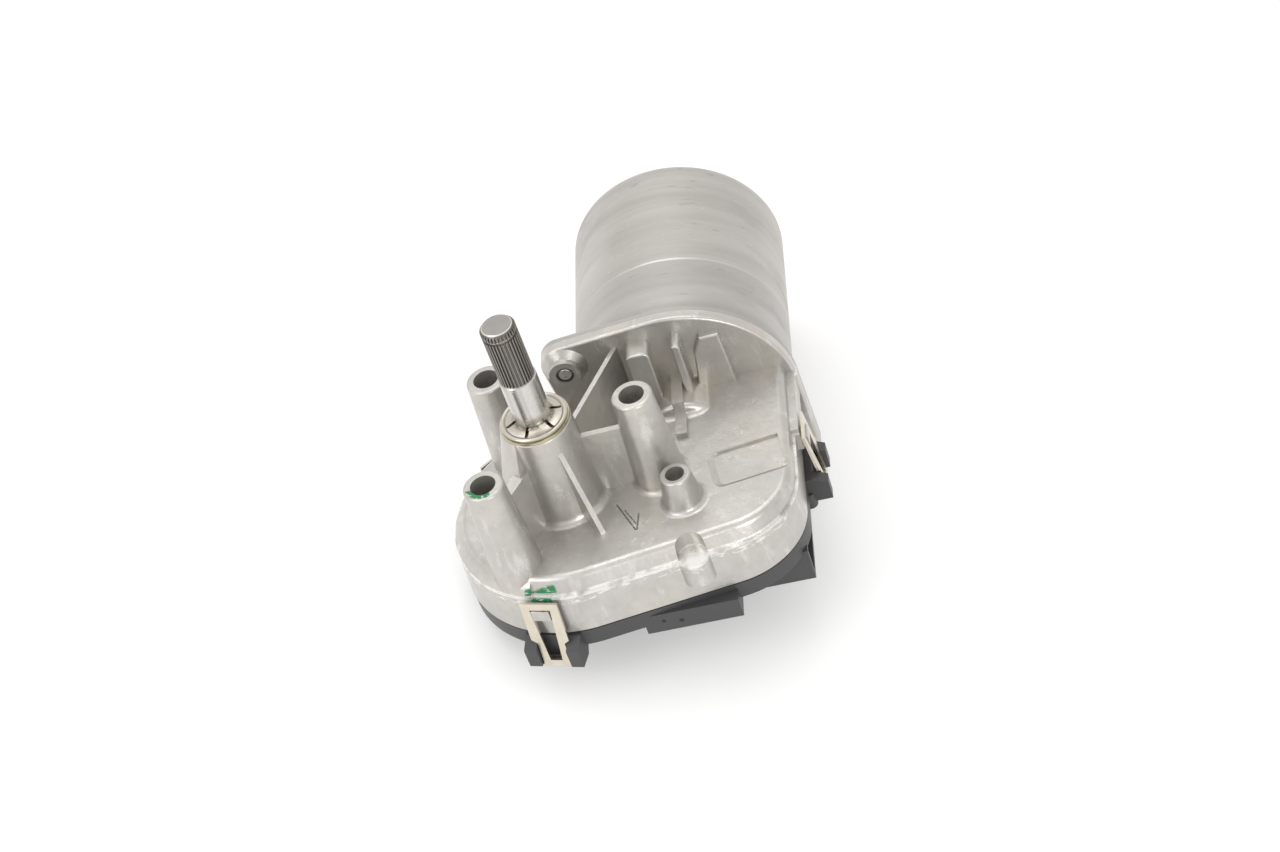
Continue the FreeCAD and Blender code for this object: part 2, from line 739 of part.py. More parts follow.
def make_screws():
    screws = []
    seat = "flange_front + flange_thickness + flat_gap + can_flange_sheet"
    for x, z in ear_spots():
        body = new_body("can_screw", x, "0", z, ALONG_Y)
        tip = "flange_front - ear_boss_height + 0.2"
        revolve(body, [
            ("0", tip), ("screw_radius - 0.4", tip), ("screw_radius", f"{tip} + 0.4"), ("screw_radius", seat),
            ("screw_head_radius + 0.8", seat), ("screw_head_radius + 0.8", f"{seat} + 0.9"),
            ("screw_head_radius", f"{seat} + 1.1"), ("screw_head_radius", f"{seat} + screw_head_height"),
            ("0", f"{seat} + screw_head_height")])
        # Flats of the hexagon head
        drawing = sketch(body, z=f"{seat} + screw_head_height")
        rectangle(drawing, "screw_head_radius * 0.87", "screw_head_radius + 2", "-6", "6")
        flat = pocket(body, drawing, "screw_head_height - 1.1")
        around(body, flat, "6")
        screws.append(body)
    group("can_screws", screws)


def make_output_shaft():
    body = new_body("output_shaft")
    hub_bottom = "(motor_z - wheel_face / 2)"
    end = f"({hub_bottom} - shaft_below_hub)"
    neck = "shaft_radius - nut_groove_depth"
    tip = "seat_length + serration_length"
    root = "serration_radius - serration_depth"
    revolve(body, [
        ("0", end),
        ("shaft_radius - 0.8", end),
        ("shaft_radius", f"{end} + 0.8"),
        ("shaft_radius", f"{hub_bottom} - 1.3"),
        ("shaft_radius - 0.5", f"{hub_bottom} - 1.3"),
        ("shaft_radius - 0.5", f"{hub_bottom} - 0.2"),
        ("shaft_radius", f"{hub_bottom} - 0.2"),
        ("shaft_radius", "-nut_groove_width"),
        (neck, "-nut_groove_width"),
        (neck, "0"),
        ("shaft_radius", "0"),
        ("shaft_radius", "seat_length"),
        (root, "seat_length + 0.6"),
        (root, tip),
        ("0", tip),
    ])
    # One serration, repeated around the end
    drawing = sketch(body, z="seat_length + 0.3")
    half = "180 / serration_count"
    closed(drawing, [
        (f"({root} - 0.2) * cos({half} * 0.8)", f"({root} - 0.2) * sin({half} * 0.8)"),
        (f"serration_radius * cos({half} * 0.3)", f"serration_radius * sin({half} * 0.3)"),
        (f"serration_radius * cos({half} * 0.3)", f"-serration_radius * sin({half} * 0.3)"),
        (f"({root} - 0.2) * cos({half} * 0.8)", f"-({root} - 0.2) * sin({half} * 0.8)")])
    tooth = pad(body, drawing, "serration_length - 0.3")
    around(body, tooth, "serration_count")
    # Chamfered tip and the ring groove just below it
    groove(body, [("serration_radius + 1", f"{tip} - 1.1"), ("serration_radius + 1", f"{tip} + 1"),
                  ("serration_radius - 1.1", f"{tip} + 1"), ("serration_radius - 1.1", tip),
                  ("serration_radius", f"{tip} - 1.1")])
    groove(body, [("serration_radius - 0.8", f"{tip} - 3.6"), ("serration_radius + 1", f"{tip} - 3.6"),
                  ("serration_radius + 1", f"{tip} - 2.8"), ("serration_radius - 0.8", f"{tip} - 2.8")])
    finish(body)


def make_nut_and_washer():
    body = new_body("push_nut")
    base = "tower_top + washer_sheet + 2 * flat_gap"
    inner = "shaft_radius - nut_groove_depth + running_gap"
    rim = "nut_radius - nut_rim_width"
    # Rolled rim, and fingers that rise to the groove in the shaft
    revolve(body, [
        (rim, base),
        ("nut_radius", base),
        ("nut_radius", f"{base} + 0.9"),
        ("nut_radius - 0.5", f"{base} + 1.25", "0.6"),
        (f"{rim} + 0.4", f"{base} + 1.0"),
        (f"{rim} - 0.2", f"{base} + nut_sheet"),
        (inner, "-0.15"),
        (inner, "-0.15 - nut_sheet"),
        (f"{rim} - 0.4", base),
    ])
    drawing = sketch(body, z="1")
    rectangle(drawing, "shaft_radius - 2", f"{rim} - 0.7", "-nut_slot_width / 2", "nut_slot_width / 2")
    slot = pocket(body, drawing, "4")
    around(body, slot, "nut_slot_count")
    finish(body)

    body = new_body("seat_washer")
    ring(body, "shaft_radius + loose_gap", "washer_radius", "tower_top + flat_gap",
         "tower_top + flat_gap + washer_sheet")
    finish(body)


def make_shaft_bushes():
    inner = "shaft_radius + running_gap"
    outer = "bush_radius - press_gap"
    body = new_body("shaft_seal")
    ring(body, "shaft_radius + loose_gap", outer, "tower_top - 3.4", "tower_top - 0.4")
    finish(body)
    body = new_body("upper_bush")
    ring(body, inner, outer, "tower_top - 16", "tower_top - 3.5")
    finish(body)
    body = new_body("lower_bush")
    ring(body, inner, outer, "cavity_top + 0.1", "cavity_top + 14")
    finish(body)
    body = new_body("thrust_washer")
    ring(body, "shaft_radius + loose_gap", "bush_radius + 2.5", "motor_z + wheel_face / 2 + flat_gap",
         "cavity_top - flat_gap")
    finish(body)


def make_wheel():
    pitch = "(gear_module * wheel_teeth / 2)"
    outer = f"({pitch} + tooth_addendum)"
    root = f"({pitch} - tooth_dedendum)"
    low = "(motor_z - wheel_face / 2)"
    high = "(motor_z + wheel_face / 2)"
    web_low = "motor_z - wheel_web / 2"
    web_high = "motor_z + wheel_web / 2"
    rim_inner = f"{root} - wheel_rim"
    boss_outer = "hub_radius + wheel_hub_wall"
    body = new_body("worm_wheel")
    revolve(body, [
        ("hub_radius + press_gap", low), (boss_outer, low), (boss_outer, web_low), (rim_inner, web_low),
        (rim_inner, low), (outer, low), (outer, high), (rim_inner, high), (rim_inner, web_high),
        (boss_outer, web_high), (boss_outer, high), ("hub_radius + press_gap", high)])
    # Ribs on the upper side of the web
    drawing = sketch(body, z="motor_z")
    rectangle(drawing, f"{boss_outer} - 1", f"{rim_inner} + 1", "-0.9", "0.9")
    rib = pad(body, drawing, "wheel_face / 2 - 0.8")
    around(body, rib, "8")
    # One tooth gap, cut along the helix by a loft between the two faces, repeated around the rim
    lead_slope = "(gear_module / (2 * worm_pitch_radius))"
    twist = f"(wheel_face * {lead_slope} / {pitch} * 180 / pi)"
    gap = f"(90 / wheel_teeth + flank_gap / {pitch} * 180 / pi)"
    spread = f"(tan(pressure_angle) / {pitch} * 180 / pi)"
    drawings = []
    for level, side in ((f"{low} - 0.01", "-1"), (f"{high} + 0.01", "1")):
        drawing = sketch(body, z=level)
        corners = []
        for radius, change in ((root, "-tooth_dedendum"), (pitch, "0"), (f"({outer} + 0.4)", "tooth_addendum + 0.4")):
            angle = f"({gap} + {spread} * ({change}))"
            corners.append((radius, angle))
        turn = f"({side} * {twist} / 2)"
        path = [(f"{r} * cos({turn} - {a})", f"{r} * sin({turn} - {a})") for r, a in corners]
        path += [(f"{r} * cos({turn} + {a})", f"{r} * sin({turn} + {a})") for r, a in reversed(corners)]
        closed(drawing, path)
        drawings.append(drawing)
    doc.recompute()
    feature = body.newObject("PartDesign::SubtractiveLoft", "ToothGap")
    feature.Profile = drawings[0]
    feature.Sections = drawings[1:]
    feature.Ruled = True
    around(body, feature, "wheel_teeth")
    finish(body)

    body = new_body("wheel_hub")
    ring(body, "shaft_radius + press_gap", "hub_radius", low, high)
    finish(body)
    body = new_body("retaining_ring")
    ring(body, "shaft_radius - 0.5 + running_gap", "shaft_radius + 2.2", f"{low} - 1.25", f"{low} - 0.25")
    finish(body)
    body = new_body("position_magnet")
    ring(body, f"{boss_outer} + press_gap", f"{boss_outer} + 5", f"{low} + 0.1", web_low + " - press_gap")
    finish(body)


def make_armature():
    body = motor_body("armature_shaft")
    core = "worm_pitch_radius - tooth_dedendum + 0.05"
    crest = "worm_pitch_radius + tooth_addendum"
    lead = "(gear_module * pi)"
    half_length = f"(worm_half_turns * {lead})"
    reach = f"{half_length} + 2"
    revolve(body, [
        ("0", "tip_end"), ("tip_radius - 0.4", "tip_end"), ("tip_radius", "tip_end + 0.4"),
        ("tip_radius", "tip_start"), (core, "tip_start + 0.3"), (core, reach),
        ("rotor_shaft_radius", f"{reach} + 2"), ("rotor_shaft_radius", "can_end + shaft_past_can - 0.5"),
        ("rotor_shaft_radius - 0.5", "can_end + shaft_past_can"), ("0", "can_end + shaft_past_can")])
    # Worm thread: one turn per tooth of the wheel, swept along a helix
    drawing = sketch(body, "XZ_Plane")
    thick = f"{lead} / 4"
    lean = "tan(pressure_angle)"
    base = f"-{half_length}"
    root_half = f"({thick} + (tooth_dedendum + 0.3) * {lean})"
    crest_half = f"({thick} - tooth_addendum * {lean})"
    closed(drawing, [
        (f"{core} - 0.25", f"{base} - {root_half}"), (crest, f"{base} - {crest_half}"),
        (crest, f"{base} + {crest_half}"), (f"{core} - 0.25", f"{base} + {root_half}")])
    doc.recompute()
    thread = body.newObject("PartDesign::AdditiveHelix", "Worm")
    thread.Profile = drawing
    thread.ReferenceAxis = (drawing, ["V_Axis"])
    thread.Mode = 0
    thread.setExpression("Pitch", bound(lead))
    thread.setExpression("Height", bound(f"2 * {half_length}"))
    finish(body)

    bore = "rotor_shaft_radius + press_gap"
    body = motor_body("lamination_stack")
    ring(body, bore, STACK_RADIUS, STACK_START, STACK_END)
    drawing = sketch(body, z=STACK_END)
    neck = f"{STACK_RADIUS} - 1.4"
    closed(drawing, [
        ("12.5", "-1.6"), (neck, "-2.6"), (neck, "-0.9"), (f"{STACK_RADIUS} + 1", "-0.9"),
        (f"{STACK_RADIUS} + 1", "0.9"), (neck, "0.9"), (neck, "2.6"), ("12.5", "1.6")])
    slot = pocket(body, drawing, "stack_length")
    around(body, slot, "slot_count")
    finish(body)

    # Winding: a crown on each side of the stack and a bar in each slot
    body = motor_body("armature_windings")
    crown = f"{STACK_RADIUS} - 2"
    revolve(body, [
        ("8", f"{STACK_START} - 8"), ("17", f"{STACK_START} - 9.5"), (f"{crown} - 1.4", f"{STACK_START} - 7"),
        (crown, f"{STACK_START} - 0.1"), ("8", f"{STACK_START} - 0.1")])
    drawing = sketch(body, z=f"{STACK_START} - 1")
    closed(drawing, [("12.8", "-1.3"), (f"{crown} - 0.6", "-2.1"), (f"{crown} - 0.6", "2.1"), ("12.8", "1.3")])
    bar = pad(body, drawing, "stack_length + 2")
    around(body, bar, "slot_count")
    revolve(body, [
        ("8", f"{STACK_END} + 0.1"), (crown, f"{STACK_END} + 0.1"), (f"{crown} - 1.4", f"{STACK_END} + 4"),
        ("17", f"{STACK_END} + 5.4"), ("8", f"{STACK_END} + 4.4")])
    finish(body)

    body = motor_body("commutator")
    revolve(body, [
        (bore, "commutator_start"), ("commutator_radius", "commutator_start"),
        ("commutator_radius", "commutator_end"), ("commutator_radius + 1.5", "commutator_end + 0.5"),
        ("commutator_radius + 1.5", "commutator_end + 2"), (bore, "commutator_end + 2")])
    drawing = sketch(body, z="commutator_end + 2")
    rectangle(drawing, "commutator_radius - 0.7", "commutator_radius + 3", "-0.3", "0.3")
    cut = pocket(body, drawing, "commutator_end - commutator_start + 3")
    around(body, cut, "bar_count")
    finish(body)


def make_bearings():
    start = "bearing_start + press_gap"
    end = "bearing_start + bearing_width - press_gap"
    middle = "(bearing_start + bearing_width / 2)"
    race = "(ball_radius + 0.1)"
    shelf = 1.2

    def race_ring(label, inner, outer, track, way):
        body = motor_body(label)
        ring(body, inner, outer, start, end)
        half = f"({race} * 0.9)"
        drawing_track = [(track, f"{middle} - {half}"), (track, f"{middle} + {half}", f"{way} * {race}")]
        side = f"{track} - {way} * {shelf}"
        groove(body, [(side, f"{middle} - {half}")] + drawing_track + [(side, f"{middle} + {half}")])
        finish(body)

    race_ring("front_bearing_outer", "ball_circle + 1.2", "bearing_radius", f"ball_circle + {race} * 0.436", "1")
    race_ring("front_bearing_inner", "rotor_shaft_radius + press_gap", "ball_circle - 1.2",
              f"ball_circle - {race} * 0.436", "-1")

    balls = []
    for number in range(int(value("ball_count"))):
        ball = doc.addObject("Part::Sphere", "bearing_ball")
        ball.setExpression("Radius", bound("ball_radius"))
        turn = f"(360 * {number} / ball_count)"
        place(ball, f"motor_x + ball_circle * cos({turn})", middle, f"motor_z + ball_circle * sin({turn})")
        balls.append(ball)
    group("front_bearing_balls", balls)

    body = motor_body("bearing_retainer")
    ring(body, "ball_circle + 0.6", "bearing_radius + 3.8", "bearing_start + bearing_width + press_gap",
         "bearing_start + bearing_width + 1")
    finish(body)
    body = motor_body("tip_bush")
    ring(body, "tip_radius + running_gap", "tunnel_radius - press_gap", "tip_end + 0.5", "tip_start - 0.5")
    finish(body)
    body = motor_body("thrust_pad")
    revolve(body, [("0", "tunnel_end + press_gap"), ("tunnel_radius - press_gap", "tunnel_end + press_gap"),
                   ("tunnel_radius - press_gap", "tip_end - flat_gap"), ("0", "tip_end - flat_gap")])
    finish(body)
    body = motor_body("rear_bush")
    cup = "cup_radius - can_sheet - press_gap"
    revolve(body, [
        ("rotor_shaft_radius + running_gap", "can_end - 3"), (f"{cup} - 1", "can_end - 3"),
        (f"{cup}", "can_end"), (f"{cup}", "can_end + 1"), (f"{cup} - 1", "can_end + 3.5"),
        ("rotor_shaft_radius + running_gap", "can_end + 3.5")])
    finish(body)
    body = motor_body("rear_bush_clip")
    ring(body, "cup_radius - can_sheet", "cup_radius + 6", "can_end - can_sheet - 0.7",
         "can_end - can_sheet - press_gap")
    finish(body)


def make_magnets_and_brushes():
    outer = "can_radius - can_sheet - press_gap"
    low, high = f"{STACK_START} - magnet_overhang", f"{STACK_END} + magnet_overhang"
    magnets = []
    for side in ("0", "180"):
        body = motor_body("field_magnet", f"{side} - magnet_angle / 2")
        revolve(body, [
            (f"{outer} - magnet_thickness", low), (outer, low), (outer, high),
            (f"{outer} - magnet_thickness", high)], angle="magnet_angle")
        magnets.append(body)
    group("field_magnets", magnets)

    body = motor_body("brush_holder")
    top = "plate_start + plate_thickness"
    ring(body, "commutator_radius + 1.6", "spigot_radius - 0.1", "plate_start", top)
    finish(body)

    tube_low = f"{top} + press_gap"
    tube_start = "commutator_radius + 1.2"
    tubes, brushes, springs = [], [], []
    for turn in ("0", "120", "180"):
        body = motor_body("brush_tube", turn)
        box(body, "Additive", (tube_start, "-tube_width / 2", tube_low),
            ("tube_end", "tube_width / 2", f"{tube_low} + tube_height"))
        box(body, "Subtractive", (f"{tube_start} - 1", "-tube_width / 2 + tube_sheet", f"{tube_low} + tube_sheet"),
            ("tube_end - tube_sheet", "tube_width / 2 - tube_sheet", f"{tube_low} + tube_height - tube_sheet"))
        tubes.append(body)
        body = motor_body("carbon_brush", turn)
        side = "tube_width / 2 - tube_sheet - press_gap * 3"
        low, high = f"{tube_low} + tube_sheet + press_gap * 3", f"{tube_low} + tube_height - tube_sheet - press_gap * 3"
        box(body, "Additive", ("commutator_radius + loose_gap / 2", f"-({side})", low), ("tube_end - 5", side, high))
        brushes.append(body)
        spring = motor_body("brush_spring", turn)
        drawing = sketch(spring, "YZ_Plane", z="tube_end - 5")
        circle(drawing, "0", f"{tube_low} + tube_height / 2", "2.2")
        circle(drawing, "0", f"{tube_low} + tube_height / 2", "1.6")
        pad(spring, drawing, "5 - tube_sheet - press_gap")
        springs.append(spring)
    group("brush_tubes", tubes)
    group("carbon_brushes", brushes)
    group("brush_springs", springs)

    chokes = []
    for turn in ("60", "300"):
        body = motor_body("suppression_choke", turn)
        drawing = sketch(body, "XZ_Plane", z="-8")
        circle(drawing, "22", f"{top} + 3.6", "3.5")
        pad(body, drawing, "16")
        chokes.append(body)
    group("suppression_chokes", chokes)


def make_cover():
    top = "(rim - gasket_thickness - 2 * flat_gap)"
    edge = f"({top} - cover_depth)"
    back = "flange_front - loose_gap"
    body = new_body("cover_gasket")
    drawing = sketch(body, z="rim - flat_gap - gasket_thickness")
    case_outline(drawing, "0.3", back)
    case_outline(drawing, "0.3 + gasket_width", f"{back} - gasket_width")
    pad(body, drawing, "gasket_thickness")
    finish(body)

    body = new_body("gearbox_cover")
    drawing = sketch(body, z=edge)
    case_outline(drawing, "0.2", back)
    pad(body, drawing, "cover_depth")
    box(body, "Additive", ("block_left", "block_front", "block_bottom"), ("block_right", "-20", "block_top"))
    box(body, "Additive", ("box_left", "box_front", "box_bottom"), ("box_right", "box_back", f"{edge} + 1"))
    # Lugs beside each spring clip
    for x, y, angle in clip_spots():
        out = value(angle)
        turn = Rotation(Vector(0, 1, 0), out)
        drawing = sketch(body, "XZ_Plane", x, "0", f"-({y})", turn)
        closed(drawing, [
            ("-4.5", f"{edge} + 1"), ("-0.6", "lug_bottom"), ("lug_reach", "lug_bottom"),
            ("lug_reach", f"{top} - 2.6"), ("0.2", f"{top} - 0.1"), ("-4.5", f"{top} - 0.1")])
        pad(body, drawing, "lug_gap + 2 * lug_width", middle=True)
        drawing = sketch(body, x=x, y=y, z=f"{top} + 1", turn=Rotation(Vector(0, 0, 1), out))
        rectangle(drawing, "0.2", "lug_reach + 1", "-lug_gap / 2", "lug_gap / 2")
        pocket(body, drawing, "14")
    # Hollow of the tray and of the deep box
    drawing = sketch(body, z=top)
    case_outline(drawing, "0.2 + cover_wall", f"{back} - cover_wall")
    pocket(body, drawing, "cover_depth - cover_floor")
    drawing = sketch(body, z=top)
    rectangle(drawing, "box_left + cover_wall", "box_right - socket_depth - cover_wall", "box_front + cover_wall",
              "box_back - cover_wall")
    pocket(body, drawing, f"{top} - box_bottom - cover_floor")
    # Plug socket in the right side of the box, with a slot for each of its five pins
    drawing = sketch(body, "YZ_Plane", z="box_right")
    rectangle(drawing, "box_front + socket_wall", "box_front + socket_wall + socket_width",
              "box_bottom + socket_wall", "box_bottom + socket_wall + socket_height")
    pocket(body, drawing, "socket_depth")
    drawing = sketch(body, "YZ_Plane", z="box_right - socket_depth + 0.1")
    for y in pin_spots():
        rectangle(drawing, f"{y} - 1.2 - press_gap", f"{y} + 1.2 + press_gap",
                  f"{PIN_LEVEL} - 0.4 - press_gap", f"{PIN_LEVEL} + 0.4 + press_gap")
    pocket(body, drawing, "cover_wall + 0.2")
    # Seat of the breather cap
    solid(body, "SubtractiveCylinder", "cap_x", "cap_y", "lug_bottom - 4", Radius="cap_radius + press_gap",
          Height=f"{edge} + flat_gap - lug_bottom + 4")
    finish(body)


def make_clips():
    clips = []
    inner = "0.6"
    top = "ledge + 0.2"
    for x, y, angle in clip_spots():
        body = new_body("cover_clip", x, y, "0", spin(angle))
        drawing = sketch(body, "XZ_Plane")
        closed(drawing, [
            (inner, top), (inner + " + clip_sheet", top),
            (inner + " + clip_sheet + clip_spread", "clip_bottom + 0.4"),
            (inner + " + clip_sheet + clip_spread - 0.6", "clip_bottom"),
            (inner + " + clip_spread - 3.4", "clip_bottom"),
            (inner + " + clip_spread - 3.4", "clip_bottom + clip_sheet"),
            (inner + " + clip_spread - 0.2", "clip_bottom + clip_sheet + 0.1")])
        pad(body, drawing, "clip_foot_width", middle=True)
        for side in ("1", "-1"):
            drawing = sketch(body, "YZ_Plane", z="20")
            edge_x = f"{side} * (clip_foot_width / 2 + 1)"
            closed(drawing, [
                (edge_x, "ledge + 2"), (f"{side} * clip_width / 2", "ledge + 2"),
                (f"{side} * clip_width / 2", "ledge - 15.2"), (f"{side} * clip_neck_width / 2", "ledge - 16.6"),
                (f"{side} * clip_neck_width / 2", "lug_bottom - flat_gap"),
                (edge_x, "lug_bottom - flat_gap")])
            pocket(body, drawing, "40")
        # Window that the catch of the housing stands in
        drawing = sketch(body, "YZ_Plane", z="20")
        closed(drawing, [("3.5", "ledge - 2.4"), ("-3.5", "ledge - 2.4"), ("-2", "clip_bottom + 3"),
                         ("2", "clip_bottom + 3")])
        pocket(body, drawing, "40")
        clips.append(body)
    group("cover_clips", clips)


def make_electronics():
    floor = "(rim - gasket_thickness - 2 * flat_gap - cover_depth + cover_floor)"
    board_low = f"({floor} + loose_gap)"
    board_high = f"({board_low} + 1.6)"
    body = new_body("circuit_board")
    drawing = sketch(body, z=board_low)
    case_outline(drawing, "0.2 + cover_wall + 1", "flange_front - 4.5")
    pad(body, drawing, "1.6")
    finish(body)

    relays = []
    for y in ("-16.2", "-2.6"):
        body = new_body("motor_relay")
        box(body, "Additive", ("box_left + 4", y, "box_bottom + cover_floor + 0.4"),
            ("box_left + 19", f"{y} + 12.5", f"{board_low} - press_gap"))
        relays.append(body)
    group("motor_relays", relays)

    body = new_body("board_capacitor")
    drawing = sketch(body, z="box_bottom + cover_floor + 0.4")
    circle(drawing, "box_left + 12", "box_back - 8", "4")
    pad(body, drawing, f"{board_low} - press_gap - box_bottom - cover_floor - 0.4")
    finish(body)

    sensors = []
    for angle in ("200", "290"):
        body = new_body("hall_sensor")
        drawing = sketch(body, x=f"18.5 * cos({angle})", y=f"18.5 * sin({angle})", z=f"{board_high} + press_gap",
                         turn=spin(angle))
        rectangle(drawing, "-1.6", "1.6", "-2", "2")
        pad(body, drawing, "3")
        sensors.append(body)
    group("hall_sensors", sensors)

    pins = []
    for y in pin_spots():
        body = new_body("connector_pin")
        drawing = sketch(body, "XZ_Plane", z=f"-({y})")
        closed(drawing, [
            ("box_right - socket_depth - 5", f"{PIN_LEVEL} - 0.4"), ("box_right - 3", f"{PIN_LEVEL} - 0.4"),
            ("box_right - 3", f"{PIN_LEVEL} + 0.4"), ("box_right - socket_depth - 4.2", f"{PIN_LEVEL} + 0.4"),
            ("box_right - socket_depth - 4.2", f"{board_low} - press_gap"),
            ("box_right - socket_depth - 5", f"{board_low} - press_gap")])
        pad(body, drawing, "2.4", middle=True)
        pins.append(body)
    group("connector_pins", pins)

    leads = []
    for x in ("51.5", "57.5"):
        body = new_body("motor_lead")
        drawing = sketch(body, "YZ_Plane", z=x)
        level = "(motor_z - 9.4)"
        closed(drawing, [
            ("flange_front - 7", f"{board_high} + press_gap"), ("flange_front - 6", f"{board_high} + press_gap"),
            ("flange_front - 6", level), ("plate_start - press_gap", level),
            ("plate_start - press_gap", f"{level} + 1"), ("flange_front - 7", f"{level} + 1")])
        pad(body, drawing, "3.4")
        leads.append(body)
    group("motor_leads", leads)

    body = new_body("breather_cap", "cap_x", "cap_y")
    low = "lug_bottom - 2.5"
    revolve(body, [
        ("0", low), ("cap_radius - 0.5", low), ("cap_radius", f"{low} + 0.5", "0.5"),
        ("cap_radius", f"{floor} - cover_floor"), ("0", f"{floor} - cover_floor")])
    finish(body)


make_gear_housing()
make_can()
make_screws()
make_output_shaft()
make_nut_and_washer()
make_shaft_bushes()
make_wheel()
make_armature()
make_bearings()
make_magnets_and_brushes()
make_cover()
make_clips()
make_electronics()
doc.recompute()

# Nothing is written unless every object and every sub-part is sound
for item in doc.Objects:
    if "Invalid" in item.State or "Error" in item.State:
        raise ValueError(f"{item.Name} ({item.Label}) failed: {item.State}")
for name, item in parts.items():
    if item.Shape.isNull() or not item.Shape.isValid() or not item.Shape.Solids:
        raise ValueError(f"{name} has no sound shape")

os.makedirs("parts", exist_ok=True)
for name, item in parts.items():
    item.Shape.exportStep(f"parts/{name}.step")
    print(name, len(item.Shape.Solids), round(item.Shape.Volume))
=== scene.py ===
import math

import bmesh
import bpy
from mathutils import Matrix, Vector


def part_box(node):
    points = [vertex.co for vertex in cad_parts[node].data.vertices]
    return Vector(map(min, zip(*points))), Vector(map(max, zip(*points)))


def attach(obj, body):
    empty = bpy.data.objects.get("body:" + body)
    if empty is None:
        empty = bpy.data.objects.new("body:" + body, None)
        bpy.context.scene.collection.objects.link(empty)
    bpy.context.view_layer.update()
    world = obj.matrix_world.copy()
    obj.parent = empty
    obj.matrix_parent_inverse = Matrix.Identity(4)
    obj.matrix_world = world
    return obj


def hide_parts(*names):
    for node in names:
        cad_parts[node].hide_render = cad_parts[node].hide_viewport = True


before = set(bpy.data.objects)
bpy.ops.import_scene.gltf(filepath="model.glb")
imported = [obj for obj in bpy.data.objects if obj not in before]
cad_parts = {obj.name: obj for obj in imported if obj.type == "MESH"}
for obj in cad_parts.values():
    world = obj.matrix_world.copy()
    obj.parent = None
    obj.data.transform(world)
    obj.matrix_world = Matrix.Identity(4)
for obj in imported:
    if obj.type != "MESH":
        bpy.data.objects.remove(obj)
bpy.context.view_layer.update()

# Gear housing. A die casting in aluminium alloy, shot blasted and left bare, with its wheel
# chamber, screw bosses, shaft tower and motor flange in one piece. Its casting skin is mottled and
# slightly warm. The flash of its parting line is rubbed bright where trays and tools touched it,
# and the lip of its ledge carries a painted highlight.


class Wire:
    """A shader socket that takes part in sums, so that a finish reads as a formula."""

    def __init__(self, tree, socket=None):
        self.tree = tree
        self.socket = socket

    def node(self, kind, settings=None, inputs=None, output=0):
        """Any other node: its type, its settings, what its sockets hold, and the output to use."""
        made = self.tree.nodes.new("ShaderNode" + kind)
        for name, setting in (settings or {}).items():
            setattr(made, name, setting)
        for name, held in (inputs or {}).items():
            if isinstance(held, Wire):
                self.tree.links.new(held.socket, made.inputs[name])
            else:
                made.inputs[name].default_value = held
        return Wire(self.tree, made.outputs[output] if made.outputs else None)

    def maths(self, operation, first, second=0.0):
        return self.node("Math", {"operation": operation}, {0: first, 1: second})

    def __add__(self, other):
        return self.maths("ADD", self, other)

    def __sub__(self, other):
        return self.maths("SUBTRACT", self, other)

    def __rsub__(self, other):
        return self.maths("SUBTRACT", other, self)

    def __mul__(self, other):
        return self.maths("MULTIPLY", self, other)

    def __abs__(self):
        return self.maths("ABSOLUTE", self)

    def __gt__(self, other):
        return self.maths("GREATER_THAN", self, other)

    def __lt__(self, other):
        return self.maths("LESS_THAN", self, other)

    __radd__ = __add__
    __rmul__ = __mul__


def new_finish(name):
    """An empty material, the start of its tree, and the place on whatever wears it."""
    material = bpy.data.materials.new(name)
    material.use_nodes = True
    material.node_tree.nodes.clear()
    start = Wire(material.node_tree)
    return material, start, start.node("TexCoord", output="Object")


def stretched(place, factors):
    """The place with each axis scaled, so that a pattern runs long or short along it."""
    return place.node("VectorMath", {"operation": "MULTIPLY"}, {0: place, 1: factors})


def noise(place, size, detail=3.0, rough=0.5):
    """Soft noise from 0 to 1 whose patches are about size metres across."""
    return place.node("TexNoise", {}, {
        "Vector": place, "Scale": 1 / size, "Detail": detail, "Roughness": rough})


def between(value, low, high):
    """0 below low, 1 above high, and a smooth change between."""
    return value.node("MapRange", {"interpolation_type": "SMOOTHSTEP"},
                      {"Value": value, "From Min": low, "From Max": high})


def tint(mask, first, second):
    """The first colour where the mask is 0 and the second where it is 1."""
    held = [c if isinstance(c, Wire) else (*c, 1.0) for c in (first, second)]
    return mask.node("Mix", {"data_type": "RGBA"}, {0: mask, 6: held[0], 7: held[1]}, output=2)


def axes(place):
    """The three coordinates of a place as separate values."""
    return [place.node("SeparateXYZ", {}, {0: place}, output=axis) for axis in "XYZ"]


def surface(material, start, bumps, **sockets):
    """Close a finish with a Principled surface over one or more bumps, given as (height, depth)."""
    normal = None
    for height, depth in bumps:
        inputs = {"Height": height, "Distance": depth, "Strength": 1.0}
        if normal:
            inputs["Normal"] = normal
        normal = start.node("Bump", {}, inputs)
    inputs = {name.replace("_", " "): held for name, held in sockets.items()}
    inputs["Normal"] = normal
    shader = start.node("BsdfPrincipled", {}, inputs)
    start.node("OutputMaterial", {}, {"Surface": shader})
    return material


def wear(node, material):
    """Give a CAD node its finish."""
    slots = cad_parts[node].data.materials
    slots.clear()
    slots.append(material)


def flat(place):
    """The place without its height, to draw on a casting seen from above."""
    return stretched(place, (1.0, 1.0, 0.0))


def stroke(place, start, end, width):
    """1 on a straight line between two points (x, y) seen from above, 0 elsewhere."""
    start, end = Vector((*start, 0)), Vector((*end, 0))
    span = end - start
    reach = place.node("VectorMath", {"operation": "SUBTRACT"}, {0: flat(place), 1: start})
    along = place.node("VectorMath", {"operation": "DOT_PRODUCT"},
                       {0: reach, 1: span / span.length_squared}, output="Value")
    along = place.node("Clamp", {}, {"Value": along})
    foot = place.node("VectorMath", {"operation": "SCALE"}, {0: span, "Scale": along})
    gap = place.node("VectorMath", {"operation": "DISTANCE"}, {0: reach, 1: foot}, output="Value")
    return 1 - between(gap, width * 0.35, width * 0.6)


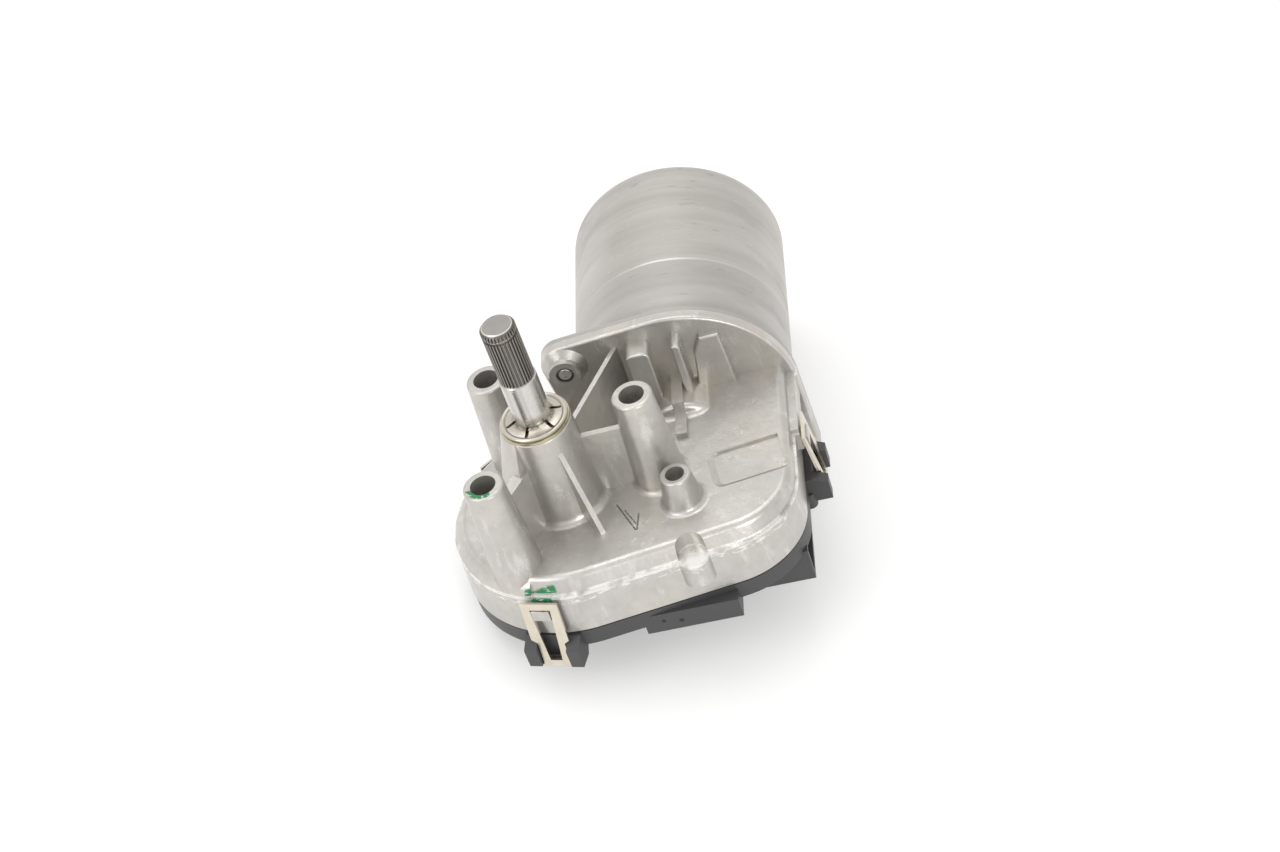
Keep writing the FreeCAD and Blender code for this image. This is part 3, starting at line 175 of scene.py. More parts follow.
def distance(place, centre):
    """How far a place lies from a point."""
    return place.node("VectorMath", {"operation": "DISTANCE"}, {0: place, 1: centre},
                      output="Value")


def cast_aluminium():
    material, start, place = new_finish("cast aluminium")
    platform, ledge, boss_top = -0.0376, -0.0431, -0.0016
    parting, flange_face = ledge - 0.0016, 0.0345
    boss_x, boss_y = -0.0161, -0.0252
    screw_end, screw_radius, gap_radius = (0.00502, 0, -0.01907), 0.0028, 0.0033
    metal = 0.76
    x, y, z = axes(place)
    mottle = noise(place, 0.011, 4)
    cloud = noise(place, 0.0034, 5, 0.62)
    grain = noise(place, 0.00045, 2, 0.6)
    pores = noise(place, 0.0016, 3, 0.6)
    streaks = between(noise(stretched(place, (1.0, 1.0, 0.3)), 0.005, 5, 0.65), 0.53, 0.68)
    colour = tint(mottle, (0.43, 0.415, 0.39), (0.57, 0.555, 0.53))
    colour = tint(between(noise(place, 0.02, 2), 0.42, 0.68) * 0.6, colour, (0.56, 0.525, 0.465))
    colour = tint(between(cloud, 0.42, 0.66) * 0.3, colour, (0.40, 0.385, 0.36))
    colour = tint(streaks * 0.4, colour, (0.72, 0.71, 0.69))
    # Painted highlight on the lip of the ledge; along the front, the die's parting flash, rubbed
    # bright
    lip_highlight = 1 - between(abs(z - ledge), 0.00025, 0.0007)
    flash = (1 - between(abs(z - parting), 0.0006, 0.0016)) * (y < -0.02)
    flash = flash * between(noise(stretched(place, (0.6, 0.6, 1.6)), 0.0018, 5, 0.6), 0.52, 0.58)
    # The lip is brightened as a painted highlight; the flash is brightened as real wear
    bright = lip_highlight * between(noise(place, 0.006, 3), 0.35, 0.55) * 0.7 + flash * 0.6
    colour = tint(bright, colour, (0.86, 0.855, 0.845))
    # Painted shade in the gap round the screw's end
    from_screw = distance(stretched(place, (1.0, 0.0, 1.0)), screw_end)
    gap_shade = 1 - between(from_screw, screw_radius, gap_radius)
    gap_shade = gap_shade * (abs(y - flange_face) < 0.0023)
    colour = tint(gap_shade * 0.8, colour, (0.07, 0.065, 0.06))
    # A tick in black pen on the platform, from the last test
    pen = stroke(place, (0.0166, -0.0084), (0.0224, -0.0208), 0.0006)
    pen = pen + stroke(place, (0.0192, -0.0116), (0.0226, -0.0182), 0.0005)
    pen = pen + stroke(place, (0.0236, -0.0142), (0.0229, -0.0208), 0.0006)
    pen = pen * (abs(z - platform) < 0.0004) * between(noise(place, 0.0007, 3), 0.32, 0.42) * 0.85
    # Green paint of the same test, in the mouth of the front left boss
    mouth = distance(flat(place), (boss_x, boss_y, 0)) < 0.0057
    mouth = mouth * (z > boss_top - 0.006) * (y < boss_y - 0.0012) * (x < boss_x + 0.0022)
    mouth = mouth * between(noise(place, 0.0013, 2), 0.36, 0.44)
    # and in two dabs of a dry brush above the front clip
    upper = stroke(place, (-0.0139, -0.0352), (-0.0052, -0.0362), 0.0018) * (z > ledge + 0.0010)
    lower = stroke(place, (-0.0120, -0.0374), (-0.0076, -0.0386), 0.0030)
    lower = lower * (abs(z - ledge + 0.0010) < 0.0013)
    bristles = between(noise(stretched(place, (0.5, 1.5, 1.5)), 0.0011, 3), 0.36, 0.44)
    green = (upper + lower) * (z < platform + 0.002) * bristles + mouth
    colour = tint(pen, colour, (0.035, 0.033, 0.03))
    colour = tint(green, colour, (0.012, 0.17, 0.06))
    roughness = 0.27 + mottle * 0.14 - streaks * 0.08 - bright * 0.06
    return surface(material, start, [(grain, 0.00005), (pores, 0.00005), (cloud, 0.00008)],
                   Base_Color=colour, Roughness=roughness, Metallic=metal - (green + pen) * metal)


wear("gear_housing", cast_aluminium())

# Shaft bushes, seal and thrust washer. Two sintered bronze bushes pressed into the tower carry the
# output shaft, a rubber ring seals its mouth, and a phenolic washer takes the wheel's thrust.


def sintered_bronze():
    material, start, place = new_finish("sintered bronze")
    pores = noise(place, 0.00025, 2, 0.7)
    patches = noise(place, 0.004, 3)
    colour = tint(patches, (0.42, 0.25, 0.12), (0.60, 0.40, 0.20))
    return surface(material, start, [(pores, 0.00003)],
                   Base_Color=colour, Roughness=0.38 + pores * 0.2, Metallic=1.0)


def black_rubber():
    material, start, place = new_finish("black rubber")
    bloom = noise(place, 0.003, 4)
    grain = noise(place, 0.0003, 2)
    colour = tint(bloom, (0.012, 0.012, 0.012), (0.035, 0.034, 0.033))
    return surface(material, start, [(grain, 0.00002)],
                   Base_Color=colour, Roughness=0.62 + bloom * 0.2)


def phenolic():
    material, start, place = new_finish("phenolic")
    flow = noise(stretched(place, (1.0, 0.3, 1.0)), 0.003, 5, 0.6)
    colour = tint(flow, (0.055, 0.028, 0.014), (0.13, 0.07, 0.035))
    return surface(material, start, [(flow, 0.00002)],
                   Base_Color=colour, Roughness=0.42 + flow * 0.15)


for node in ("upper_bush", "lower_bush", "tip_bush", "rear_bush"):
    wear(node, sintered_bronze())
for node in ("shaft_seal", "cover_gasket"):
    wear(node, black_rubber())
for node in ("thrust_washer", "thrust_pad", "brush_holder"):
    wear(node, phenolic())

# Output shaft. Steel, ground bright on the seat of the crank, with a rolled serration above it that
# holds the crank's hub. The serration's grooves are darkened as painted shade and its teeth
# lightened as a painted highlight, and the sawn end is dull.


def shaft_steel():
    material, start, place = new_finish("shaft steel")
    seat_end = 0.0164
    crest, groove = 0.0060, 0.0055
    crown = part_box("output_shaft")[1][2] - 0.00005
    z = axes(place)[2]
    grinding = noise(stretched(place, (0.05, 0.05, 1.0)), 0.00016, 2)
    stains = noise(place, 0.0035, 4, 0.6)
    drawn = between(noise(stretched(place, (1.0, 1.0, 0.04)), 0.0016, 3), 0.5, 0.62)
    serrated = between(z, seat_end, seat_end + 0.0006)
    from_axis = distance(flat(place), (0, 0, 0))
    # Painted shade deep in the serration's grooves
    groove_shade = (1 - between(from_axis, groove, crest)) * (from_axis > groove - 0.0006)
    colour = tint(stains, (0.52, 0.50, 0.475), (0.68, 0.665, 0.645))
    colour = tint(drawn * 0.3, colour, (0.34, 0.32, 0.30))
    # Two fine lines scored down the seat
    for azimuth in (math.radians(253), math.radians(257)):
        edge = (crest * math.cos(azimuth), crest * math.sin(azimuth), 0)
        score = 1 - between(distance(flat(place), edge), 0.00008, 0.00022)
        colour = tint(score * (z < seat_end - 0.001) * 0.7, colour, (0.16, 0.15, 0.14))
    # The teeth are painted lighter, as a painted highlight on their crests
    teeth = tint(stains, (0.56, 0.54, 0.515), (0.78, 0.76, 0.73))
    colour = tint(serrated, colour, tint(groove_shade * 0.84, teeth, (0.09, 0.072, 0.058)))
    colour = tint((z > crown) * (0.55 + stains * 0.3), colour, (0.17, 0.16, 0.15))
    roughness = 0.20 + grinding * 0.12 + serrated * 0.16
    return surface(material, start, [(grinding, 0.00001)],
                   Base_Color=colour, Roughness=roughness, Metallic=1.0)


wear("output_shaft", shaft_steel())

# Worm wheel. A moulded nylon rim on a steel hub, with a ring magnet under it that tells the board
# where the crank stands, and a snap ring that holds the hub on the shaft.


def white_nylon():
    material, start, place = new_finish("white nylon")
    flow = noise(place, 0.009, 3)
    grease = between(noise(place, 0.006, 4, 0.6), 0.55, 0.7)
    colour = tint(flow, (0.72, 0.69, 0.60), (0.82, 0.80, 0.73))
    colour = tint(grease * 0.6, colour, (0.62, 0.48, 0.25))
    return surface(material, start, [(noise(place, 0.0005), 0.00002)],
                   Base_Color=colour, Roughness=0.42 - grease * 0.2)


def plated_steel():
    material, start, place = new_finish("plated steel")
    spangle = noise(place, 0.0016, 4, 0.6)
    colour = tint(spangle, (0.52, 0.51, 0.48), (0.70, 0.69, 0.66))
    return surface(material, start, [(noise(place, 0.0004), 0.00002)],
                   Base_Color=colour, Roughness=0.28 + spangle * 0.18, Metallic=1.0)


def ferrite():
    material, start, place = new_finish("ferrite")
    grain = noise(place, 0.0004, 3, 0.7)
    colour = tint(grain, (0.045, 0.045, 0.05), (0.085, 0.085, 0.09))
    return surface(material, start, [(grain, 0.00004)],
                   Base_Color=colour, Roughness=0.55 + grain * 0.15, Metallic=0.3)


wear("worm_wheel", white_nylon())
for node in ("wheel_hub", "retaining_ring", "bearing_retainer", "rear_bush_clip", "brush_springs"):
    wear(node, plated_steel())
for node in ("position_magnet", "field_magnets", "suppression_chokes"):
    wear(node, ferrite())

# Washer and star nut on the tower. The washer is chromated yellow. The nut is pressed from spring
# sheet with a rolled rim, and its fingers bite into a groove of the shaft.


def yellow_chromate():
    material, start, place = new_finish("yellow chromate")
    drift = noise(place, 0.003, 3)
    colour = tint(drift, (0.42, 0.38, 0.25), (0.58, 0.55, 0.40))
    colour = tint(between(noise(place, 0.005, 2), 0.5, 0.65) * 0.4, colour, (0.50, 0.42, 0.38))
    return surface(material, start, [(noise(place, 0.0006), 0.00001)],
                   Base_Color=colour, Roughness=0.26 + drift * 0.12, Metallic=1.0)


def ring_tree():
    """Copies of a piece, each turned one step further about Z, in the finish that is given."""
    tree = bpy.data.node_groups.new("ring of copies", "GeometryNodeTree")
    for label, kind in (("Piece", "Geometry"), ("Count", "Int"), ("Step", "Float"),
                        ("Finish", "Material")):
        tree.interface.new_socket(label, in_out="INPUT", socket_type="NodeSocket" + kind)
    tree.interface.new_socket("Ring", in_out="OUTPUT", socket_type="NodeSocketGeometry")
    made = {kind: tree.nodes.new(kind) for kind in (
        "NodeGroupInput", "GeometryNodeMeshLine", "GeometryNodeInputIndex", "ShaderNodeMath",
        "ShaderNodeCombineXYZ", "FunctionNodeEulerToRotation", "GeometryNodeInstanceOnPoints",
        "GeometryNodeRealizeInstances", "GeometryNodeSetMaterial", "NodeGroupOutput")}
    given, line, index, angle, euler, rotation, copies, whole, finish, result = made.values()
    angle.operation = "MULTIPLY"
    line.inputs["Offset"].default_value = (0, 0, 0)
    for source, target in (
            (given.outputs["Count"], line.inputs["Count"]),
            (index.outputs[0], angle.inputs[0]),
            (given.outputs["Step"], angle.inputs[1]),
            (angle.outputs[0], euler.inputs["Z"]),
            (euler.outputs[0], rotation.inputs[0]),
            (line.outputs[0], copies.inputs["Points"]),
            (given.outputs["Piece"], copies.inputs["Instance"]),
            (rotation.outputs[0], copies.inputs["Rotation"]),
            (copies.outputs[0], whole.inputs[0]),
            (whole.outputs[0], finish.inputs["Geometry"]),
            (given.outputs["Finish"], finish.inputs["Material"]),
            (finish.outputs[0], result.inputs[0])):
        tree.links.new(source, target)
    return tree


def ring_of(name, sector, count, material, place=Matrix.Identity(4)):
    """A finished piece: the sector's copies joined into one clean mesh, with their place in it."""
    weld, sharp_edge = 0.000008, math.radians(38)
    draft = bpy.data.objects.new(name, sector)
    bpy.context.collection.objects.link(draft)
    modifier = draft.modifiers.new("ring", "NODES")
    modifier.node_group = rings
    held = {"Count": count, "Step": 2 * math.pi / count, "Finish": material}
    for socket in rings.interface.items_tree:
        if socket.name in held:
            modifier[socket.identifier] = held[socket.name]
    evaluated = draft.evaluated_get(bpy.context.evaluated_depsgraph_get())
    mesh = bpy.data.meshes.new_from_object(evaluated)
    draft.modifiers.remove(modifier)
    mesh.transform(place)
    work = bmesh.new()
    work.from_mesh(mesh)
    bmesh.ops.remove_doubles(work, verts=work.verts, dist=weld)
    bmesh.ops.recalc_face_normals(work, faces=work.faces)
    work.to_mesh(mesh)
    work.free()
    for face in mesh.polygons:
        face.use_smooth = True
    mesh.set_sharp_from_angle(angle=sharp_edge)
    draft.data = mesh
    return draft


def nut_sector(low, count, slot_width):
    """One finger of the nut and its share of the rim: a profile swept round, closed at the slots.

    The profile's points are (radius, height) in millimetres, and low is the nut's foot in metres.
    """
    upper = [(10.8, 0.25), (10.8, 0.85), (10.55, 1.15), (10.1, 1.25), (9.7, 1.1), (9.45, 0.72),
             (9.15, 0.6), (8.95, 0.6), (8.3, 0.72), (7.5, 0.98), (6.7, 1.32), (5.8, 1.78)]
    lower = [(10.65, 0.03), (10.45, 0.0), (10.25, 0.0), (10.0, 0.0), (9.7, 0.0), (9.4, 0.0),
             (9.15, 0.02), (8.95, 0.05), (8.3, 0.2), (7.5, 0.48), (6.7, 0.82), (5.8, 1.28)]
    outline = upper + lower[::-1]
    slot_root, first_finger = 9, math.radians(44.7)
    slotted = [radius < slot_root for radius, height in upper].index(True)
    steps = 10
    shape = bmesh.new()
    rows = []
    for step in range(steps + 1):
        row = []
        for radius, height in outline:
            half = math.pi / count
            if radius < slot_root:
                half -= math.asin(slot_width / 2 / radius)
            angle = half * (2 * step / steps - 1)
            row.append(shape.verts.new((radius / 1000 * math.cos(angle),
                                        radius / 1000 * math.sin(angle), low + height / 1000)))
        rows.append(row)
    size = len(outline)
    for row, following in zip(rows, rows[1:]):
        for spot in range(size):
            after = (spot + 1) % size
            shape.faces.new((row[spot], row[after], following[after], following[spot]))
    for row in (rows[0], rows[-1]):
        for spot in range(slotted, len(upper) - 1):
            shape.faces.new((row[spot], row[spot + 1], row[size - 2 - spot], row[size - 1 - spot]))
    mesh = bpy.data.meshes.new("nut finger")
    shape.to_mesh(mesh)
    shape.free()
    mesh.transform(Matrix.Rotation(first_finger, 4, "Z"))
    return mesh


def pale_gold():
    material, start, place = new_finish("pale gold sheet")
    drift = noise(place, 0.0028, 3)
    scuffs = noise(stretched(place, (1.0, 0.2, 1.0)), 0.0008, 3)
    from_axis = distance(flat(place), (0, 0, 0))
    # A shaded bend inside the rim, and oil that crept out along the shaft
    rim_foot = 0.0093
    bend = 1 - between(abs(from_axis - rim_foot), 0.0001, 0.0004)
    oil = (1 - between(from_axis, 0.0063, 0.0075)) * between(noise(place, 0.0012, 3), 0.3, 0.6)
    colour = tint(drift, (0.46, 0.43, 0.37), (0.64, 0.605, 0.54))
    colour = tint(bend * 0.5, colour, (0.16, 0.14, 0.12))
    colour = tint(oil * 0.8, colour, (0.13, 0.09, 0.055))
    return surface(material, start, [(scuffs, 0.00001)],
                   Base_Color=colour, Roughness=0.24 + scuffs * 0.14, Metallic=1.0)


wear("seat_washer", yellow_chromate())
rings = ring_tree()
fingers, slot_width = 6, 1.15
nut_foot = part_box("push_nut")[0][2]
nut = ring_of("star_nut", nut_sector(nut_foot, fingers, slot_width), fingers, pale_gold())
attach(nut, "output")
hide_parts("push_nut")

# Armature. The motor's shaft with the worm rolled on its front end, a stack of electric sheet, the
# copper winding in its slots, and the moulded commutator.


def worm_steel():
    material, start, place = new_finish("worm steel")
    turning = noise(stretched(place, (0.05, 1.0, 0.05)), 0.00025, 2)
    stains = noise(place, 0.004, 3)
    colour = tint(stains, (0.50, 0.49, 0.47), (0.68, 0.67, 0.65))
    return surface(material, start, [(turning, 0.00001)],
                   Base_Color=colour, Roughness=0.2 + turning * 0.14, Metallic=1.0)


def electric_sheet():
    material, start, place = new_finish("electric sheet")
    y = axes(place)[1]
    layers = place.node("Math", {"operation": "PINGPONG"}, {0: y, 1: 0.00025})
    seam = layers < 0.00005
    rust = between(noise(place, 0.004, 4, 0.6), 0.55, 0.75)
    colour = tint(seam, (0.34, 0.335, 0.33), (0.10, 0.10, 0.105))
    colour = tint(rust * 0.5, colour, (0.22, 0.12, 0.07))
    return surface(material, start, [(1 - seam, 0.00003)],
                   Base_Color=colour, Roughness=0.42 + rust * 0.2, Metallic=1.0)


def copper():
    material, start, place = new_finish("copper")
    turns = noise(stretched(place, (1.0, 0.15, 1.0)), 0.0007, 2)
    dull = noise(place, 0.004, 3)
    colour = tint(dull, (0.58, 0.24, 0.11), (0.76, 0.36, 0.18))
    return surface(material, start, [(turns, 0.00012)],
                   Base_Color=colour, Roughness=0.26 + dull * 0.16, Metallic=1.0)


wear("armature_shaft", worm_steel())
wear("lamination_stack", electric_sheet())

# End turns. The enamelled wires leave each slot of the stack, cross over the shaft's side and dive
# into a slot further round. The same loop, repeated slot by slot, makes the crown at either end.


def end_turns(points, wire, spread, count):
    """Wires side by side along a path of (radius, degrees, height), all in millimetres."""
    shape = bmesh.new()
    sides = 6
    for number in range(count):
        line = [Matrix.Rotation(math.radians(angle + number * spread), 3, "Z")
                @ Vector((radius, 0, height)) for radius, angle, height in points]
        hoops = []
        for spot, centre in enumerate(line):
            ahead = (line[min(spot + 1, len(line) - 1)] - line[max(spot - 1, 0)]).normalized()
            across = ahead.cross(centre).normalized()
            above = across.cross(ahead)
            hoop = []
            for side in range(sides):
                round_wire = 2 * math.pi * side / sides
                rim = centre + wire * (across * math.cos(round_wire) + above * math.sin(round_wire))
                hoop.append(shape.verts.new(rim / 1000))
            hoops.append(hoop)
        for hoop, following in zip(hoops, hoops[1:]):
            for side in range(sides):
                after = (side + 1) % sides
                shape.faces.new((hoop[side], hoop[after], following[after], following[side]))
        shape.faces.new(hoops[0])
        shape.faces.new(hoops[-1])
    mesh = bpy.data.meshes.new("end turns")
    shape.to_mesh(mesh)
    shape.free()
    return mesh


def enamelled_wire():
    material, start, place = new_finish("enamelled wire")
    dull = noise(place, 0.004, 3)
    drops = between(noise(place, 0.0009, 2), 0.55, 0.65)
    colour = tint(dull, (0.50, 0.17, 0.07), (0.68, 0.28, 0.12))
    colour = tint(drops * 0.3, colour, (0.30, 0.10, 0.04))
    return surface(material, start, [(drops, 0.00003)],
                   Base_Color=colour, Roughness=0.2 + dull * 0.15, Metallic=0.8)


stack_low, stack_high = (corner[1] * 1000 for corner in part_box("lamination_stack"))
slots, wires, wire_radius, wire_spread, coil_pitch = 12, 4, 0.42, 3.4, 150
# A wire's way over the end of the stack, as (radius, degrees round) and its rise at each point
way_out = [(24.9, 0), (24.7, 2), (23.9, 8), (20.5, 22), (16.5, 42), (14.2, 66)]
rotor_low, rotor_high = (Vector(corner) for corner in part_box("armature_shaft"))
rotor_x, rotor_z = (rotor_low.x + rotor_high.x) / 2, (rotor_low.z + rotor_high.z) / 2
along_motor = Matrix.Translation((rotor_x, 0, rotor_z))
along_motor = along_motor @ Matrix.Rotation(math.radians(-90), 4, "X")
for name, level, rise in (("front_end_turns", stack_low, (-0.4, -3.5, -7.1, -9.2, -9.9, -9.5)),
                          ("rear_end_turns", stack_high, (0.4, 2.0, 4.2, 5.3, 5.9, 5.6))):
    path = [(radius, angle, level + height) for (radius, angle), height in zip(way_out, rise)]
    path += [(radius, coil_pitch - angle, height) for radius, angle, height in reversed(path)]
    bundle = end_turns(path, wire_radius, wire_spread, wires)
    loops = ring_of(name, bundle, slots, enamelled_wire(), along_motor)
    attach(loops, "armature")
for node in ("armature_windings", "commutator", "motor_leads"):
    wear(node, copper())

# Ball bearing at the worm end of the can. Two rings and eight balls of polished bearing steel, held
# in the housing by a plate.


def bearing_steel():
    material, start, place = new_finish("bearing steel")
    haze = noise(place, 0.002, 3)
    colour = tint(haze, (0.66, 0.66, 0.66), (0.78, 0.78, 0.78))
    return surface(material, start, [(haze, 0.000005)],
                   Base_Color=colour, Roughness=0.08 + haze * 0.1, Metallic=1.0)


for node in ("front_bearing_inner", "front_bearing_balls", "front_bearing_outer"):
    wear(node, bearing_steel())

# Brush gear. Three drawn brass tubes on a moulded ring guide the carbon brushes, which springs
# press on the commutator. The plug's blades are stamped from the same brass.


def drawn_brass():
    material, start, place = new_finish("drawn brass")
    lines = noise(stretched(place, (0.2, 1.0, 0.2)), 0.0004, 2)
    dull = noise(place, 0.003, 3)
    colour = tint(dull, (0.58, 0.42, 0.17), (0.76, 0.60, 0.30))
    return surface(material, start, [(lines, 0.00001)],
                   Base_Color=colour, Roughness=0.24 + dull * 0.16, Metallic=1.0)


def pressed_carbon():
    material, start, place = new_finish("pressed carbon")
    specks = noise(place, 0.0003, 3, 0.7)
    colour = tint(between(specks, 0.5, 0.7), (0.03, 0.03, 0.032), (0.10, 0.07, 0.055))
    return surface(material, start, [(specks, 0.00003)],
                   Base_Color=colour, Roughness=0.5 + specks * 0.15)


for node in ("brush_tubes", "connector_pins"):
    wear(node, drawn_brass())
wear("carbon_brushes", pressed_carbon())

# Motor can. Deep drawn in two steps from steel sheet and plated, so fine rings run around it, with
# smudges where the drawing tool and the magnetiser gripped it.


def drawn_steel():
    material, start, place = new_finish("drawn steel")
    y = axes(place)[1]
    step_y, swell_y = 0.0716, 0.0545
    lines = noise(stretched(place, (0.03, 1.0, 0.03)), 0.0006, 4, 0.6)
    bands = noise(stretched(place, (0.04, 1.0, 0.04)), 0.009, 4, 0.55)
    streaks = noise(stretched(place, (0.12, 1.0, 0.12)), 0.005, 5, 0.6)
    smudge = between(noise(stretched(place, (0.45, 1.0, 0.45)), 0.016, 5, 0.62), 0.46, 0.66)
    scuffs = between(noise(place, 0.0022, 5, 0.7), 0.60, 0.72)
    dashes = between(noise(stretched(place, (0.25, 1.0, 0.25)), 0.0022, 5, 0.65), 0.62, 0.70)
    # A crease runs round where the two drawing steps meet, and a soft swell before it
    crease = between(y, step_y - 0.0007, step_y + 0.0007)
    swell = 1 - between(abs(y - swell_y), 0.0010, 0.0060)
    edge = 1 - between(abs(y - step_y), 0.0002, 0.0007)
    colour = tint(streaks, (0.36, 0.345, 0.32), (0.49, 0.474, 0.446))
    colour = tint(between(bands, 0.35, 0.65) * 0.4, colour, (0.58, 0.563, 0.535))
    colour = tint(smudge * 0.35, colour, (0.36, 0.345, 0.325))
    colour = tint(scuffs * 0.25, colour, (0.70, 0.69, 0.67))
    colour = tint(dashes * 0.35, colour, (0.18, 0.172, 0.162))
    colour = tint((y < step_y) * 0.3, colour, (0.31, 0.302, 0.29))
    # Painted highlight: the crease's edge and the swell are painted lighter
    colour = tint(edge * 0.25 + swell * 0.12, colour, (0.70, 0.69, 0.67))
    bumps = [(lines, 0.00002), (streaks, 0.00004), (crease, 0.00018), (swell, 0.0002)]
    return surface(material, start, bumps,
                   Base_Color=colour, Roughness=0.34 + smudge * 0.12 + lines * 0.08, Metallic=0.75)


wear("motor_can", drawn_steel())

# Can screws. Two steel screws, zinc plated and passivated clear, driven from behind through the
# can's ears into the housing's.


def bright_zinc():
    material, start, place = new_finish("bright zinc")
    wiped = noise(stretched(place, (1.0, 0.2, 1.0)), 0.0012, 3)
    colour = tint(wiped, (0.62, 0.62, 0.615), (0.78, 0.78, 0.775))
    return surface(material, start, [(wiped, 0.00002)],
                   Base_Color=colour, Roughness=0.22 + wiped * 0.14, Metallic=1.0)


wear("can_screws", bright_zinc())

# Circuit board. Glass laminate under green lacquer, held in the cover below the wheel, with its
# relays, capacitor and magnet sensors soldered on.


def green_lacquer():
    material, start, place = new_finish("green lacquer")
    lanes = place.node("TexBrick", {"offset": 0.5}, {
        "Vector": place, "Scale": 1.0, "Brick Width": 0.006, "Row Height": 0.0016,
        "Mortar Size": 0.0003}, output="Fac")
    colour = tint(lanes, (0.012, 0.11, 0.05), (0.03, 0.20, 0.09))
    return surface(material, start, [(lanes, 0.00003)],
                   Base_Color=colour, Roughness=0.22 + lanes * 0.08, Coat_Weight=0.4)


def moulded_case():
    material, start, place = new_finish("moulded case")
    sparks = noise(place, 0.0003, 2)
    drift = noise(place, 0.004, 2)
    colour = tint(drift, (0.018, 0.018, 0.02), (0.03, 0.03, 0.032))
    return surface(material, start, [(sparks, 0.00001)],
                   Base_Color=colour, Roughness=0.3 + drift * 0.1)


def foil_can():
    material, start, place = new_finish("foil can")
    brushed = noise(stretched(place, (1.0, 1.0, 0.05)), 0.0004, 2)
    colour = tint(brushed, (0.70, 0.70, 0.70), (0.82, 0.82, 0.82))
    return surface(material, start, [(brushed, 0.00001)],
                   Base_Color=colour, Roughness=0.2 + brushed * 0.1, Metallic=1.0)


wear("circuit_board", green_lacquer())
for node in ("motor_relays", "hall_sensors"):
    wear(node, moulded_case())
wear("board_capacitor", foil_can())

# Cover. Moulded in black glass-filled nylon with a fine spark-eroded texture, and closed with a
# rubber line under the housing. Its breather cap is of the same nylon, pushed on under a lug.


def black_nylon():
    material, start, place = new_finish("black nylon")
    sparks = noise(place, 0.00035, 3, 0.6)
    flow = noise(place, 0.012, 4)
    scuffs = between(noise(place, 0.0018, 5, 0.7), 0.62, 0.74)
    colour = tint(flow, (0.036, 0.036, 0.0365), (0.054, 0.054, 0.055))
    colour = tint(scuffs * 0.35, colour, (0.10, 0.10, 0.10))
    # Two small pin marks in the front of the block, dimpled, with painted shade inside them
    marks = distance(place, (0.0297, -0.0365, -0.0652)) < 0.0008
    marks = marks + (distance(place, (0.0242, -0.0365, -0.0641)) < 0.0007)
    colour = tint(marks, colour, (0.004, 0.004, 0.004))
    return surface(material, start, [(sparks, 0.00003), (1 - marks, 0.0004)],
                   Base_Color=colour, Roughness=0.40 + flow * 0.12)


for node in ("gearbox_cover", "breather_cap"):
    wear(node, black_nylon())

# Cover clips. Stamped from thin spring strip, bent out at the foot, hooked over the catches of the
# housing and under the lugs of the cover.


def spring_strip():
    material, start, place = new_finish("spring strip")
    rolled = noise(stretched(place, (1.0, 1.0, 0.06)), 0.0004, 3)
    drift = noise(place, 0.004, 3)
    colour = tint(drift, (0.58, 0.52, 0.42), (0.74, 0.69, 0.60))
    return surface(material, start, [(rolled, 0.00001)],
                   Base_Color=colour, Roughness=0.22 + rolled * 0.14, Metallic=1.0)


wear("cover_clips", spring_strip())

# Stage. The motor rests on a white paper sweep that leans as its underside does, under three soft
# boxes in a white room.
lean = math.radians(14.0)
nose = math.radians(4.0)
up = Vector((math.sin(lean), -math.sin(nose), math.cos(lean))).normalized()
side = Vector((0, 1, 0)).cross(up).normalized()
forward = up.cross(side)
turn = Matrix((side, forward, up)).transposed().to_4x4()
lowest = min(up.dot(v.co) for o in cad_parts.values() for v in o.data.vertices)


def white_sweep():
    material, start, place = new_finish("white sweep")
    paper = noise(place, 0.02, 2)
    colour = tint(paper, (0.63, 0.63, 0.627), (0.65, 0.65, 0.647))
    return surface(material, start, [(paper, 0.00001)], Base_Color=colour, Roughness=0.8,
                   Emission_Color=(1.0, 1.0, 0.995, 1.0), Emission_Strength=0.29)


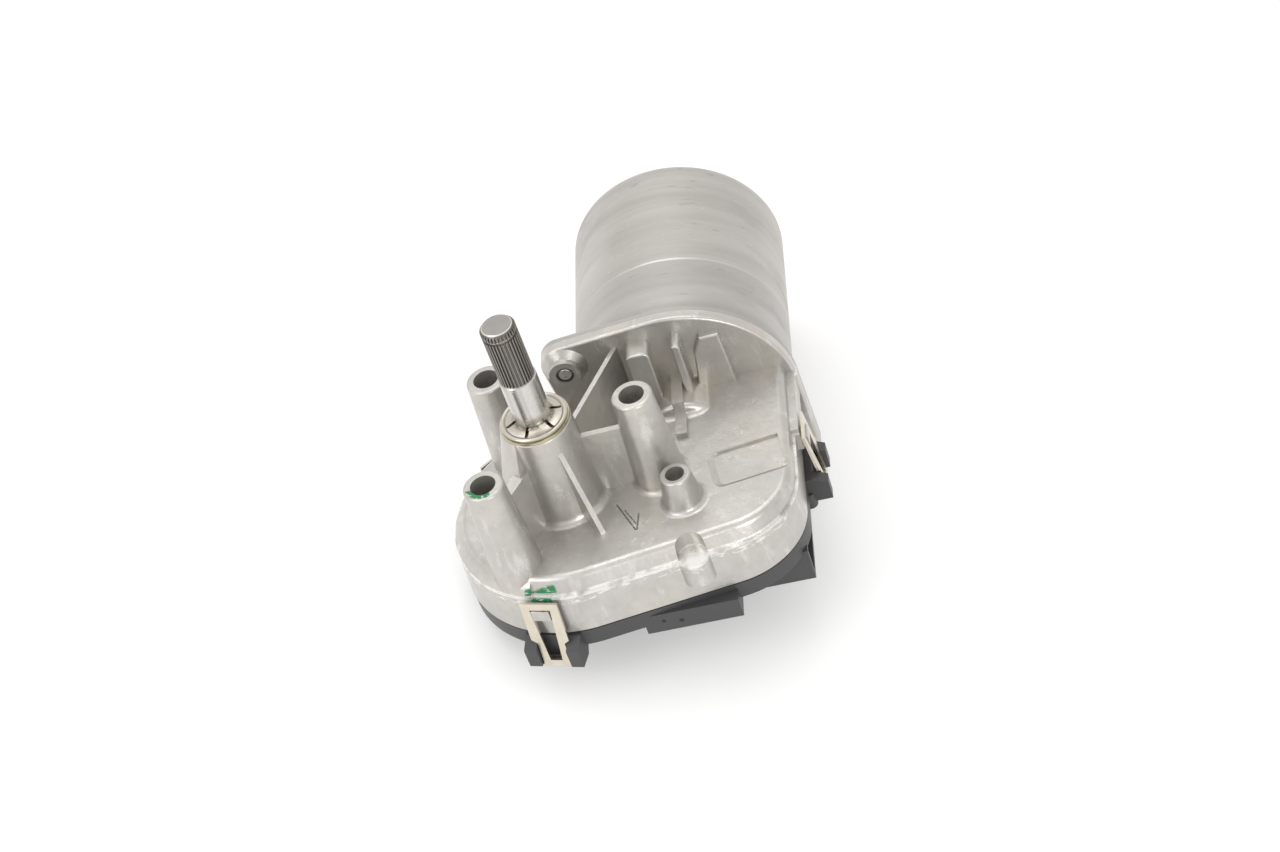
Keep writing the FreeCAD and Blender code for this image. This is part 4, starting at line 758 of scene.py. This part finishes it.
floor_mesh = bpy.data.meshes.new("sweep")
reach, clearance = 9.0, 0.0002
corners = [(-reach, -reach, 0), (reach, -reach, 0), (reach, reach, 0), (-reach, reach, 0)]
floor_mesh.from_pydata([up * (lowest - clearance) + turn @ Vector(corner) for corner in corners],
                       [], [(0, 1, 2, 3)])
floor_mesh.materials.append(white_sweep())
floor = bpy.data.objects.new("sweep", floor_mesh)
bpy.context.collection.objects.link(floor)


def soft_box(name, place, target, size, power):
    """A square light that faces its target."""
    lamp = bpy.data.lights.new(name, "AREA")
    lamp.size = size
    lamp.energy = power
    item = bpy.data.objects.new(name, lamp)
    item.location = place
    item.rotation_euler = (Vector(target) - Vector(place)).to_track_quat("-Z", "Y").to_euler()
    bpy.context.collection.objects.link(item)


centre = Vector((0.03, 0.03, -0.03))
for name, place, size, power in (("overhead soft box", (-0.35, 0.45, 1.2), 1.0, 5),
                                 ("front soft box", (0.5, -1.3, 0.7), 0.38, 5.5),
                                 ("left soft box", (-1.2, -0.7, 0.9), 0.8, 6)):
    soft_box(name, centre + turn.to_3x3() @ Vector(place), centre, size, power)

world = bpy.data.worlds.new("studio")
world.use_nodes = True
world.node_tree.nodes["Background"].inputs["Color"].default_value = (1.0, 0.995, 0.99, 1.0)
world.node_tree.nodes["Background"].inputs["Strength"].default_value = 0.98
bpy.context.scene.world = world
bpy.context.scene.view_settings.view_transform = "Standard"

# Camera. It stands in front of the gear case, a little to its right, and looks down on it from
# about 42 degrees through a long lens, as the photograph does.
camera_right = Vector((0.96513, -0.01952, -0.26105))
camera_ahead = Vector((-0.16653, 0.72365, -0.66978))
camera_up = camera_right.cross(camera_ahead)
lens = bpy.data.cameras.new("camera")
lens.sensor_width = 36.0
lens.lens = 82.0
camera = bpy.data.objects.new("camera", lens)
camera.matrix_world = Matrix.Translation((0.181527, -0.655768, 0.592739)) @ Matrix(
    (camera_right, camera_up, -camera_ahead)).transposed().to_4x4()
bpy.context.collection.objects.link(camera)
bpy.context.scene.camera = camera
